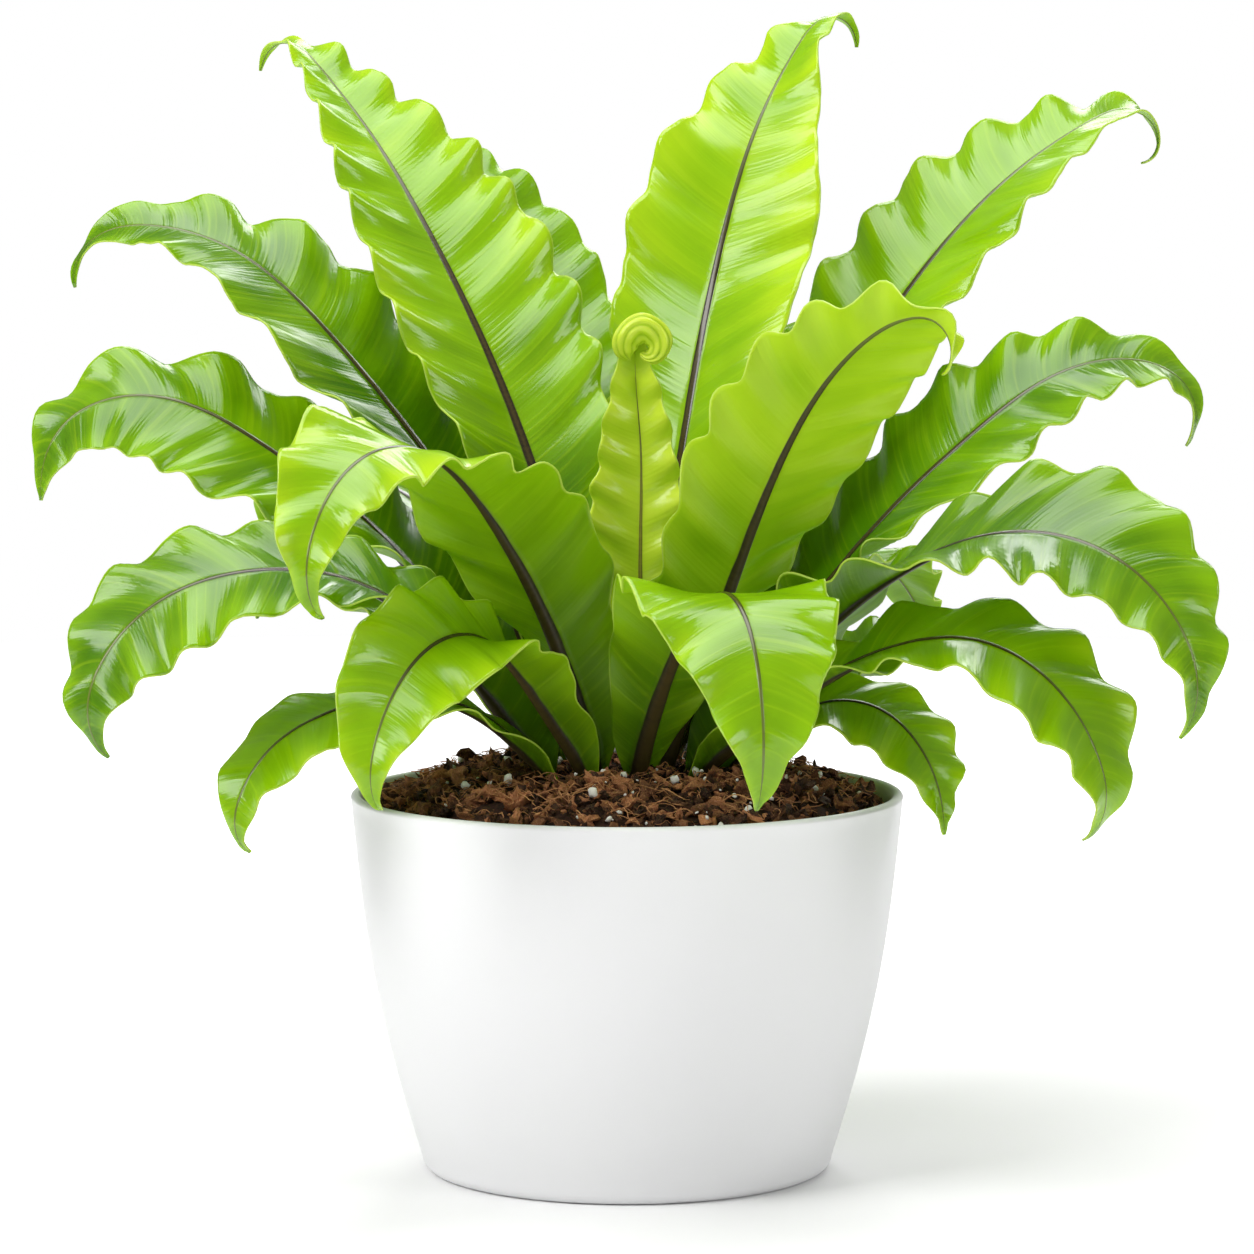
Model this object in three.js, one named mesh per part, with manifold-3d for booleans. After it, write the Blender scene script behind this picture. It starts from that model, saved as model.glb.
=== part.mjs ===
// A potted bird's nest fern: waved fronds round a short crown, in potting mix, in a plain white tapered pot.
// Millimetres, +Z up, the front is -Y. The origin is the middle of the pot's base.
import * as THREE from "three";
import { mergeVertices } from "three/addons/utils/BufferGeometryUtils.js";
import Module from "manifold-3d";

const wasm = await Module();
wasm.setup();

const DEG = Math.PI / 180;
const GAP = 0.3; // between pieces that rest on each other

// The pot. Its wall swells a little between the foot and the rim.
const POT_HEIGHT = 125;
const POT_RIM_RADIUS = 91;
const POT_FOOT_RADIUS = 66.5;
const POT_SWELL = 4.6; // how far the wall stands outside a straight cone
const POT_SWELL_LOW = 0.15; // how much less it swells near the rim than near the foot
const POT_WALL = 3.5;
const POT_FLOOR = 5;
const POT_EDGE_ROUND = 4.5; // of the foot
const POT_CORNER = 6; // inside, between the floor and the wall
const POT_LIP_ROUND = 1.2;
const POT_RINGS = 5; // up the wall
const POT_SIDES = 40;

// The potting mix, heaped towards the crown.
const MIX_EDGE_HEIGHT = 117.5;
const MIX_TOP_HEIGHT = 128.5;
const MIX_CLEARANCE = 1.2; // from the pot's wall, whose facets cut inside its round
const MIX_ROUNDING = 1.6; // over 1: the heap is flatter near the crown
const MIX_LUMP = 1.1;
const MIX_SIDES = 32;
const MIX_RINGS = 5; // from the wall to the crown
const MIX_SIDE_RINGS = 4; // down the wall

// The crown, which the fronds grow from.
const CROWN_RADIUS = 37;
const CROWN_TOP_HEIGHT = 134;
const CROWN_EDGE_HEIGHT = 128;
const CROWN_SHOULDER_HEIGHT = 108;
const CROWN_SHOULDER_RADIUS = 32;
const CROWN_FOOT_HEIGHT = 88;
const CROWN_FOOT_RADIUS = 22;
const CROWN_SIDE = 6; // the height of its upright edge
const CROWN_RINGS = 4;
const CROWN_SIDES = 24;

// What every frond shares.
const BLADE_THICKNESS = 0.8;
const STALK_HALF_WIDTH = 3;
const STALK_HALF_THICKNESS = 1.6;
const STALK_EDGE = 0.5; // how much thicker than the blade the stalk's edges are, on each face
const ROOT_DEPTH = 9; // how deep a stalk stands in the crown
const HOLE_RADIUS = 4;
const HOLE_SIDES = 6;
const TIP_HALF_WIDTH = 1;
const BASE_HALF_WIDTH = 7.5; // of the blade, just above the potting mix
const BASE_LENGTH = 14; // the length over which the stalk opens into the blade
const BASE_OPENING = 0.7; // under 1: it opens fast at first
const RIB_HALF_WIDTH = 2.6;
const RIB_SHARE = 0.6; // the most that the midrib takes of a narrow blade's half width
const HOOK_FROM = 0.86; // the share of the length where the tip begins to curl
const SWELL = 1.15; // how slowly a blade widens from its base
const TAPER = 1.35; // how fast it narrows to its tip
const VEIN_SLANT = 0.55; // how far a wave leans towards the tip, against its distance from the midrib
const WAVE_DEPTH = 4.2; // out of the blade's face, at the margin of a blade 56 wide
const WAVE_SCALLOP = 2; // in the blade's face
const WAVE_NOTCH = 0.2; // the share of a finer wave, twice as many, that sharpens the scallops
const WAVE_BOWL = 1.3; // over 1: the waves die out fast from the margin to the midrib
const WAVE_LAG = 1; // radians, from the scallop to the wave out of the face
const WAVE_FROM = 0.06; // the share of the length where the waves begin, and over which they grow and fade
const WAVE_GROWTH = 0.2;
const WAVE_FADE = 0.2;
const WAVE_FULL_HALF = 28; // a narrower blade has smaller waves
const STALK_TAPER_SHARE = 0.12; // the share of the length where the stalk thins to the blade
const STALK_THINNING = 0.8; // under 1: the midrib stays thick for most of its length
const STATIONS_PER_WAVE = 3;
const SPARE_STATIONS = 3;
const COIL_STATIONS = 24; // more of them on the frond that is still coiled
const STEPS_PER_STATION = 8; // of the midrib's curve

// Each frond, by where it is seen from the front. Angles are in degrees.
// foot: where its stalk stands, as distance from the axis and bearing from +X towards +Y.
// rise: the midrib's angle above level, at even steps from root to tip.
// heading: the midrib's bearing seen from above, likewise.
// roll turns the face about the midrib, fold raises both halves of the blade, and hook curls the tip.
// half, broad, waves, phase: the half width, its place as a share of the length, and the waves' number and start,
// for the left margin and then the right one, seen by someone who looks along the frond from its root.
// swell and taper stand in for SWELL and TAPER, and spans, half widths at even steps, for the whole outline.
// A plain frond has only its midrib between its margins.
const FRONDS = {
  frond_top_left: {
    foot: [17, 132], length: 332, rise: [80, 70, 59, 51, 45, 35, 34], heading: [129, 128, 128, 126],
    roll: [0, 12, 12, -5], hook: 104, fold: [40, 17, 13], half: [33, 36], broad: [0.45, 0.5],
    waves: [13, 13.5], phase: [0.65, 0.7],
  },
  frond_top_right: {
    foot: [19, 66], length: 302, rise: [76, 74, 71, 68, 62, 48, 45], heading: [70, 65, 56, 45],
    roll: [8, 24, -20, 15], hook: 136, fold: [30, 10, 11], half: [33, 35], broad: [0.57, 0.52],
    waves: [9.5, 6], phase: [0.15, 0.55],
  },
  frond_high_right: {
    foot: [22, 38], length: 328, rise: [64, 60, 56, 50, 41, 28, 19], heading: [42, 39, 34, 22],
    roll: [0, -4, -12, -14], hook: 192, fold: [36, 17, 8], half: [33, 32], broad: [0.66, 0.58],
    waves: [12.5, 11.5], phase: [0.1, 0.95],
  },
  frond_behind_left: {
    foot: [24, 105], length: 273, rise: [64, 59, 55, 51, 48, 45, 41], heading: [103, 106, 110, 115],
    roll: [0, 2, 5, 6], hook: 60, fold: [36, 15, 6], half: [30, 30], broad: [0.6, 0.66],
    waves: [10, 11], phase: [0, 0.15],
  },
  frond_high_left: {
    foot: [22, 150], length: 286, rise: [70, 66, 54, 48, 40, 9, -27], heading: [155, 155, 159, 166],
    roll: [0, 10, 18, 19], hook: 75, fold: [40, 10, 5], half: [32, 31], broad: [0.58, 0.7],
    waves: [8, 9], phase: [0, 0.35], taper: 1,
  },
  frond_front_right: {
    foot: [17, 312], length: 225, rise: [62, 62, 63, 58, 45, 19, -40], heading: [312, 311, 312, 317],
    roll: [0, 18, 30, 44], hook: 110, fold: [44, 12, 30], half: [30, 28], broad: [0.7, 0.5],
    waves: [10, 10], phase: [0.1, 0.2],
  },
  frond_left: {
    foot: [30, 174], length: 244, rise: [65, 58, 48, 35, 27, -20, -100], heading: [168, 169, 174, 184],
    roll: [0, 8, 36, 46], hook: -10, fold: [55, 3, 0], half: [33, 29], broad: [0.6, 0.56],
    waves: [10.5, 8], phase: [0.35, 0.3], taper: 1,
  },
  frond_low_left: {
    foot: [29, 210], length: 222, rise: [53, 52, 37, 9, -17, -55, -99], heading: [205, 200, 199, 203],
    roll: [0, 18, 30, 42], hook: 41, fold: [52, 8, -5], half: [27, 25], broad: [0.7, 0.68],
    waves: [9, 9.5], phase: [0.2, 0.79], swell: 0.8,
  },
  frond_front_left: {
    foot: [17, 238], length: 233, rise: [70, 65, 54, 39, -5, -51, -95], heading: [218, 225, 233, 243],
    roll: [-5, -25, 18, 25], hook: 68, fold: [38, 8, 8], half: [31, 32], broad: [0.48, 0.53],
    waves: [10.5, 8.5], phase: [0.05, 0.1],
  },
  frond_low_front_left: {
    foot: [28, 245], length: 172, rise: [52, 48, 39, 4, -27, -56, -90], heading: [224, 234, 241, 244],
    roll: [3, 20, 40, 6], hook: 70, fold: [42, 24, 12], half: [23, 21], broad: [0.6, 0.67],
    waves: [6.5, 9], phase: [0.85, 0.55],
  },
  frond_front: {
    foot: [22, 278], length: 202, rise: [62, 50, 37, 12, -31, -75, -115], heading: [294, 289, 284, 281],
    roll: [5, 22, -10, 0], hook: 30, fold: [18, 2, 5], half: [30, 30], broad: [0.6, 0.56],
    waves: [8.5, 7.5], phase: [0.25, 0.1],
  },
  frond_right_arch: {
    foot: [24, 335], length: 249, rise: [52, 46, 37, 19, -13, -53, -95], heading: [337, 332, 328, 326],
    roll: [-5, -5, -28, -25], hook: 36, fold: [80, 12, 8], half: [33, 36], broad: [0.59, 0.52],
    waves: [10.5, 11], phase: [0.2, 0.5],
  },
  frond_right: {
    foot: [27, 6], length: 249, rise: [60, 55, 49, 41, 33, -7, -84], heading: [16, 17, 14, 5],
    roll: [0, -5, -27, -32], hook: 42, fold: [36, 7, 9], half: [30, 30], broad: [0.58, 0.52],
    waves: [11, 11], phase: [0.2, 0.15],
  },
  frond_low_right: {
    foot: [28, 318], length: 204, rise: [41, 35, 28, 9, -29, -63, -92], heading: [329, 330, 330, 331],
    roll: [-3, -21, -20, -3], hook: 60, fold: [40, 9, 0], half: [23, 24], broad: [0.78, 0.72],
    waves: [8, 8.5], phase: [0.4, 0.75],
  },
  frond_small_right: {
    foot: [30, 346], length: 115, rise: [46, 38, 26, -4, -40, -66, -91], heading: [340, 335, 330, 325],
    roll: [-4, -24, -25, -18], hook: -5, fold: [40, 0, 4], half: [16, 18], broad: [0.7, 0.6],
    waves: [5, 4], phase: [0.8, 0.2], plain: true,
  },
  frond_small_left: {
    foot: [34, 230], length: 150, rise: [47, 41, 17, -10, -27, -60, -90], heading: [205, 198, 202, 212],
    roll: [6, 14, 18, 26], hook: 62, fold: [24, -2, 3], half: [19, 18], broad: [0.65, 0.64],
    waves: [5.5, 4], phase: [0, 0.15], plain: true,
  },
  frond_young: {
    foot: [5.5, 335], length: 190,
    rise: [90, 90, 90, 91, 91, 91, 91, 92, 92, 92, 91, 92, 100, 111, 107, 71, 12, -45, -105, -165, -225],
    heading: [0, 0, 0, 0], roll: [-90, -90, -90, -90, -88, -86, -86, -95, -165, -178, -180], hook: 0,
    fold: [34, 28, 20, 16, 16, 18, 22, 40, 55, 50, 50], half: [16, 16], coiled: true,
    spans: [3, 4.5, 6, 8, 10, 12, 13.5, 15, 16, 16.3, 15.8, 14, 11.5, 9, 7, 6, 6, 5.5, 3.5, 1.6, 1],
    waves: [8, 8], phase: [0.9, 0.4],
  },
  frond_back: {
    foot: [26, 80], length: 245, rise: [54, 49, 40, 26, 6, -26, -66], heading: [80, 79, 80, 82],
    roll: [0, 0, -6, 5], hook: 40, fold: [25, 10, 6], half: [30, 30], broad: [0.58, 0.58],
    waves: [9, 9.5], phase: [0.6, 0.1], plain: true,
  },
  frond_back_left: {
    foot: [27, 130], length: 240, rise: [58, 51, 40, 22, -4, -42, -80], heading: [130, 130, 128, 124],
    roll: [0, 6, 5, 0], hook: 30, fold: [25, 10, 6], half: [29, 29], broad: [0.6, 0.58],
    waves: [9, 8.5], phase: [0.4, 0.8], plain: true,
  },
  frond_back_right: {
    foot: [30, 57], length: 215, rise: [47, 42, 32, 15, -9, -38, -68], heading: [58, 58, 57, 54],
    roll: [0, -6, -8, 0], hook: 25, fold: [25, 10, 6], half: [27, 27], broad: [0.6, 0.6],
    waves: [8, 9], phase: [0.1, 0.55], plain: true,
  },
  frond_back_middle: {
    foot: [31, 106], length: 218, rise: [46, 40, 29, 11, -15, -48, -84], heading: [104, 105, 106, 104],
    roll: [0, 5, 8, 0], hook: 35, fold: [25, 10, 6], half: [27, 27], broad: [0.58, 0.6],
    waves: [8.5, 8], phase: [0.75, 0.3], plain: true,
  },
  frond_low_back_left: {
    foot: [33, 144], length: 168, rise: [48, 43, 34, 22, 6, -12, -34], heading: [138, 137, 136, 134],
    roll: [0, 8, 6, 0], hook: 35, fold: [25, 8, 5], half: [25, 25], broad: [0.62, 0.6],
    waves: [8, 7], phase: [0.2, 0.65], plain: true,
  },
  frond_low_back_right: {
    foot: [32, 26], length: 128, rise: [42, 36, 29, 21, 9, -8, -25], heading: [28, 31, 34, 37],
    roll: [0, -8, -8, 0], hook: 35, fold: [25, 8, 5], half: [22, 22], broad: [0.62, 0.62],
    waves: [6.5, 7], phase: [0.5, 0.9], plain: true,
  },
  frond_small_back: {
    foot: [34, 82], length: 165, rise: [38, 29, 12, -12, -38, -64, -88], heading: [78, 80, 82, 84],
    roll: [0, 6, -5, 0], hook: 30, fold: [22, 8, 5], half: [20, 20], broad: [0.62, 0.6],
    waves: [6, 6.5], phase: [0.85, 0.25], plain: true,
  },
};

// The value at t, from 0 to 1, on a smooth curve through evenly spaced values.
function along(values, t) {
  const last = values.length - 1;
  const x = Math.min(Math.max(t, 0), 1) * last;
  const i = Math.min(Math.floor(x), last - 1);
  const f = x - i;
  const p0 = values[Math.max(i - 1, 0)];
  const p1 = values[i];
  const p2 = values[i + 1];
  const p3 = values[Math.min(i + 2, last)];
  return p1 + 0.5 * f * (p2 - p0 + f * (2 * p0 - 5 * p1 + 4 * p2 - p3 + f * (3 * (p1 - p2) + p3 - p0)));
}

// The top of the crown at a distance from the axis: a low dome.
function crownHeight(radius) {
  return CROWN_TOP_HEIGHT - (CROWN_TOP_HEIGHT - CROWN_EDGE_HEIGHT) * (radius / CROWN_RADIUS) ** 2;
}

// The direction that a frond's midrib takes at a share of its length.
function direction(frond, share) {
  const curl = frond.hook * (Math.max(0, share - HOOK_FROM) / (1 - HOOK_FROM)) ** 2;
  const rise = (along(frond.rise, share) - curl) * DEG;
  const heading = along(frond.heading, share) * DEG;
  return { rise, heading };
}

function directionVector({ rise, heading }) {
  const level = Math.cos(rise);
  return new THREE.Vector3(level * Math.cos(heading), level * Math.sin(heading), Math.sin(rise));
}

function footOf(frond) {
  const [radius, bearing] = frond.foot;
  return new THREE.Vector3(
    radius * Math.cos(bearing * DEG),
    radius * Math.sin(bearing * DEG),
    crownHeight(radius),
  );
}

// Half the blade's width on one side. The stalk opens into a narrow base, which widens to the broadest place,
// and from there narrows to a fine tip.
function halfWidth(frond, share, side) {
  if (frond.spans) return along(frond.spans, share);
  const half = frond.half[side];
  const broad = frond.broad[side];
  if (share < broad) {
    const opened = Math.min(1, (share * frond.length) / BASE_LENGTH) ** BASE_OPENING;
    const base = STALK_HALF_WIDTH + (BASE_HALF_WIDTH - STALK_HALF_WIDTH) * opened;
    const widened = Math.sin((share / broad) * Math.PI / 2) ** (frond.swell ?? SWELL);
    return base + (half - BASE_HALF_WIDTH) * widened;
  }
  const beyond = (share - broad) / (1 - broad);
  const taper = frond.taper ?? TAPER;
  return Math.max(TIP_HALF_WIDTH, half * (1 - beyond) ** taper * (1 + taper * beyond));
}

// The wave of a margin: how far it goes out in the blade's face, and how far out of it.
function waveAt(frond, share, side) {
  const half = halfWidth(frond, share, side);
  const place = share - (VEIN_SLANT * half) / frond.length;
  const turn = 2 * Math.PI * (frond.waves[side] * place + frond.phase[side]);
  const grown = Math.min(1, Math.max(0, (share - WAVE_FROM) / WAVE_GROWTH));
  const fading = Math.min(1, (1 - share) / WAVE_FADE);
  const size = grown * fading * Math.min(1, frond.half[side] / WAVE_FULL_HALF);
  return {
    out: WAVE_SCALLOP * size * (Math.sin(turn) + WAVE_NOTCH * Math.cos(2 * turn)),
    up: WAVE_DEPTH * size * Math.sin(turn - WAVE_LAG),
  };
}

// The blade's middle surface, as a grid of points: one row for each station, one point for each place across.
function bladeGrid(frond, stations) {
  const count = stations * STEPS_PER_STATION;
  const point = footOf(frond);
  const rows = [];
  for (let k = 0; k <= count; k++) {
    if (k % STEPS_PER_STATION === 0) rows.push(bladeRow(frond, k / count, point));
    point.addScaledVector(directionVector(direction(frond, (k + 0.5) / count)), frond.length / count);
  }
  return rows;
}

function bladeRow(frond, share, point) {
  const { rise, heading } = direction(frond, share);
  const level = new THREE.Vector3(-Math.sin(heading), Math.cos(heading), 0);
  const upright = new THREE.Vector3(
    -Math.sin(rise) * Math.cos(heading),
    -Math.sin(rise) * Math.sin(heading),
    Math.cos(rise),
  );
  const roll = along(frond.roll, share) * DEG;
  const face = upright.clone().multiplyScalar(Math.cos(roll)).addScaledVector(level, Math.sin(roll));
  const across = level.clone().multiplyScalar(Math.cos(roll)).addScaledVector(upright, -Math.sin(roll));
  const opened = Math.min(1, (share * frond.length) / BASE_LENGTH);
  const fold = along(frond.fold, share) * opened * DEG;
  const place = (way, part) => {
    const side = way > 0 ? 0 : 1;
    const half = halfWidth(frond, share, side);
    const { out, up } = waveAt(frond, share, side);
    const wide = (half + out * part) * part;
    return point
      .clone()
      .addScaledVector(across, way * wide * Math.cos(fold))
      .addScaledVector(face, wide * Math.sin(fold) + up * part ** WAVE_BOWL);
  };
  const rib = (side) => Math.min(RIB_SHARE, RIB_HALF_WIDTH / halfWidth(frond, share, side));
  const middle = point.clone();
  if (frond.plain) return [place(-1, 1), middle, place(1, 1)];
  return [place(-1, 1), place(-1, rib(1)), middle, place(1, rib(0)), place(1, 1)];
}

// A closed thin solid on a grid of points, thicker at the midrib, with the same diagonals on both faces.
function sheetSolid(grid, thickness) {
  const rows = grid.length;
  const across = grid[0].length;
  const at = (i, j) => grid[Math.min(Math.max(i, 0), rows - 1)][Math.min(Math.max(j, 0), across - 1)];
  const vertices = [];
  for (const way of [1, -1]) {
    for (let i = 0; i < rows; i++) {
      for (let j = 0; j < across; j++) {
        const lengthwise = at(i + 1, j).clone().sub(at(i - 1, j));
        const crosswise = at(i, j + 1).clone().sub(at(i, j - 1));
        const normal = lengthwise.cross(crosswise).normalize();
        vertices.push(at(i, j).clone().addScaledVector(normal, way * thickness(i / (rows - 1), j)));
      }
    }
  }
  const index = (way, i, j) => (way * rows + i) * across + j;
  const faces = [];
  const quad = (a, b, c, d) => faces.push(a, b, c, a, c, d);
  for (let i = 0; i < rows - 1; i++) {
    for (let j = 0; j < across - 1; j++) {
      quad(index(0, i, j), index(0, i + 1, j), index(0, i + 1, j + 1), index(0, i, j + 1));
      faces.push(index(1, i, j), index(1, i + 1, j + 1), index(1, i + 1, j));
      faces.push(index(1, i, j), index(1, i, j + 1), index(1, i + 1, j + 1));
    }
    quad(index(0, i, 0), index(1, i, 0), index(1, i + 1, 0), index(0, i + 1, 0));
    const far = across - 1;
    quad(index(0, i, far), index(0, i + 1, far), index(1, i + 1, far), index(1, i, far));
  }
  const tip = rows - 1;
  for (let j = 0; j < across - 1; j++) {
    quad(index(0, 0, j), index(0, 0, j + 1), index(1, 0, j + 1), index(1, 0, j));
    quad(index(0, tip, j), index(1, tip, j), index(1, tip, j + 1), index(0, tip, j + 1));
  }
  const geometry = new THREE.BufferGeometry();
  const numbers = vertices.flatMap((v) => v.toArray());
  geometry.setAttribute("position", new THREE.Float32BufferAttribute(numbers, 3));
  geometry.setIndex(faces);
  return geometry;
}

// How many stations a frond has: enough for its waves to show, and more where it is coiled.
function stationsOf(frond) {
  const coiled = frond.coiled ? COIL_STATIONS : 0;
  return Math.round(STATIONS_PER_WAVE * Math.max(...frond.waves)) + SPARE_STATIONS + coiled;
}

function frondGeometry(frond) {
  const grid = bladeGrid(frond, stationsOf(frond));
  const back = directionVector(direction(frond, 0)).multiplyScalar(-ROOT_DEPTH);
  grid.unshift(grid[0].map((p) => p.clone().add(back)));
  const middle = (grid[0].length - 1) / 2;
  const thin = BLADE_THICKNESS / 2;
  const thickness = (share, place) => {
    if (place !== middle) return thin + STALK_EDGE * Math.max(0, 1 - share / STALK_TAPER_SHARE);
    return thin + (STALK_HALF_THICKNESS - thin) * (1 - share) ** STALK_THINNING;
  };
  return sheetSolid(grid, thickness);
}

// A lathe profile of [radius, height] pairs as a solid of revolution about +Z.
function turned(profile, sides) {
  const geometry = new THREE.LatheGeometry(profile.map(([r, z]) => new THREE.Vector2(r, z)), sides);
  return geometry.rotateX(Math.PI / 2);
}

function potRadius(height) {
  const share = height / POT_HEIGHT;
  const cone = POT_FOOT_RADIUS + (POT_RIM_RADIUS - POT_FOOT_RADIUS) * share;
  return cone + POT_SWELL * Math.sin(Math.PI * share) * (1 - POT_SWELL_LOW * share);
}

function potGeometry() {
  const lipHeight = POT_HEIGHT - POT_LIP_ROUND;
  const rings = Array.from({ length: POT_RINGS }, (_, k) => k / POT_RINGS);
  const outside = rings.map((share) => POT_EDGE_ROUND + (lipHeight - POT_EDGE_ROUND) * share);
  const inside = rings.slice(1).map((share) => lipHeight + (POT_FLOOR + POT_CORNER - lipHeight) * share);
  const innerFoot = potRadius(POT_FLOOR) - POT_WALL;
  const bevel = POT_EDGE_ROUND * (1 - Math.SQRT1_2);
  return turned([
    [0, 0],
    [POT_FOOT_RADIUS - POT_EDGE_ROUND, 0],
    [POT_FOOT_RADIUS - bevel, bevel],
    ...outside.map((z) => [potRadius(z), z]),
    [potRadius(lipHeight), lipHeight],
    [POT_RIM_RADIUS - POT_LIP_ROUND, POT_HEIGHT],
    [POT_RIM_RADIUS - POT_WALL + POT_LIP_ROUND, POT_HEIGHT],
    [POT_RIM_RADIUS - POT_WALL, lipHeight],
    ...inside.map((z) => [potRadius(z) - POT_WALL, z]),
    [innerFoot, POT_FLOOR + POT_CORNER / 2],
    [innerFoot - POT_CORNER, POT_FLOOR],
    [0, POT_FLOOR],
  ], POT_SIDES);
}

// The height of the heap of potting mix, at a share of the way from the crown out to the pot's wall.
function heapHeight(share) {
  return MIX_EDGE_HEIGHT + (MIX_TOP_HEIGHT - MIX_EDGE_HEIGHT) * (1 - share ** MIX_ROUNDING);
}

// The heap's lumps, which die out at the crown and at the pot's wall.
function lumpHeight(radius, bearing, share) {
  const lump = Math.sin(5 * bearing + radius / 6) + Math.sin(9 * bearing - radius / 4);
  return MIX_LUMP * lump * Math.sin(Math.PI * share);
}

function mixGeometry() {
  const wall = (z) => [potRadius(z) - POT_WALL - MIX_CLEARANCE, z];
  const floor = POT_FLOOR + GAP;
  const corner = floor + POT_CORNER;
  const side = [];
  for (let k = 0; k <= MIX_SIDE_RINGS; k++) {
    side.push(wall(corner + (MIX_EDGE_HEIGHT - corner) * (k / MIX_SIDE_RINGS)));
  }
  const edge = side.at(-1)[0];
  const shareOf = (radius) => Math.min(1, Math.max(0, (radius - CROWN_RADIUS) / (edge - CROWN_RADIUS)));
  const heap = [];
  for (let k = 1; k <= MIX_RINGS; k++) {
    const radius = edge + (CROWN_SHOULDER_RADIUS - edge) * (k / MIX_RINGS);
    heap.push([radius, heapHeight(shareOf(radius))]);
  }
  const foot = [wall(floor)[0] - POT_CORNER, floor];
  const geometry = turned([[0, floor], foot, ...side, ...heap, [0, MIX_TOP_HEIGHT]], MIX_SIDES);
  const position = geometry.attributes.position;
  for (let i = 0; i < position.count; i++) {
    const [x, y, z] = [position.getX(i), position.getY(i), position.getZ(i)];
    const radius = Math.hypot(x, y);
    if (z >= MIX_EDGE_HEIGHT) position.setZ(i, z + lumpHeight(radius, Math.atan2(y, x), shareOf(radius)));
  }
  return geometry;
}

// The crown's outline, or a larger one that the potting mix leaves free for it.
function crownProfile(clearance) {
  const dome = [];
  for (let k = CROWN_RINGS; k >= 0; k--) {
    const radius = CROWN_RADIUS * (k / CROWN_RINGS);
    const above = clearance > 0 ? MIX_TOP_HEIGHT : 0;
    dome.push([radius + (k > 0 ? clearance : 0), crownHeight(radius) + above]);
  }
  return [
    [0, CROWN_FOOT_HEIGHT - clearance],
    [CROWN_FOOT_RADIUS + clearance, CROWN_FOOT_HEIGHT - clearance],
    [CROWN_SHOULDER_RADIUS + clearance, CROWN_SHOULDER_HEIGHT],
    [CROWN_RADIUS + clearance, CROWN_EDGE_HEIGHT - CROWN_SIDE],
    ...dome,
  ];
}

// A geometry as a solid that can be joined and cut, and back.
function solidOf(geometry) {
  const bare = geometry.clone();
  bare.deleteAttribute("normal");
  bare.deleteAttribute("uv");
  const merged = mergeVertices(bare, 1e-3);
  return new wasm.Manifold(new wasm.Mesh({
    numProp: 3,
    vertProperties: merged.attributes.position.array,
    triVerts: new Uint32Array(merged.index.array),
  }));
}

function geometryOf(solid) {
  const mesh = solid.getMesh();
  const geometry = new THREE.BufferGeometry();
  geometry.setAttribute("position", new THREE.BufferAttribute(new Float32Array(mesh.vertProperties), 3));
  geometry.setIndex(new THREE.BufferAttribute(new Uint32Array(mesh.triVerts), 1));
  return geometry;
}

// The round hole that a frond's stalk stands in.
function stalkHole(frond) {
  const depth = ROOT_DEPTH + GAP;
  const hole = new THREE.CylinderGeometry(HOLE_RADIUS, HOLE_RADIUS, BASE_LENGTH + depth, HOLE_SIDES);
  const way = directionVector(direction(frond, 0));
  hole.applyQuaternion(new THREE.Quaternion().setFromUnitVectors(new THREE.Vector3(0, 1, 0), way));
  const middle = footOf(frond).addScaledVector(way, (BASE_LENGTH - depth) / 2);
  return solidOf(hole.translate(middle.x, middle.y, middle.z));
}

const looks = {
  pot: new THREE.MeshStandardMaterial({ color: 0xf2f2f1, roughness: 0.45, metalness: 0 }),
  mix: new THREE.MeshStandardMaterial({ color: 0x3a2216, roughness: 0.95, metalness: 0 }),
  crown: new THREE.MeshStandardMaterial({ color: 0x2c1c12, roughness: 0.9, metalness: 0 }),
  frond: new THREE.MeshStandardMaterial({ color: 0x6fae1f, roughness: 0.35, metalness: 0 }),
};

const fern = new THREE.Group();

function add(name, geometry, material) {
  const mesh = new THREE.Mesh(geometry, material);
  mesh.name = name;
  fern.add(mesh);
}

let crown = solidOf(turned(crownProfile(0), CROWN_SIDES));
for (const frond of Object.values(FRONDS)) crown = crown.subtract(stalkHole(frond));
const mix = solidOf(mixGeometry()).subtract(solidOf(turned(crownProfile(GAP), CROWN_SIDES)));

add("pot", potGeometry(), looks.pot);
add("potting_mix", geometryOf(mix), looks.mix);
add("crown", geometryOf(crown), looks.crown);
for (const [name, frond] of Object.entries(FRONDS)) add(name, frondGeometry(frond), looks.frond);

export default fern;
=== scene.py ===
# %% [markdown]
# # A potted bird's nest fern
#
# The fern is a ring of long waved fronds that grow from one short crown, in a white pot of bark mix.
# Lengths are in metres, +Z is up, the front is -Y, and the origin is the middle of the pot's base. The
# frame holds the plain solids at their real size. The pieces below take their places and add what they
# leave out: veins, ribs, pleats, bark, fibres and finishes.

import math
import random

import bmesh
import bpy
from mathutils import Matrix, Vector, noise


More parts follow.
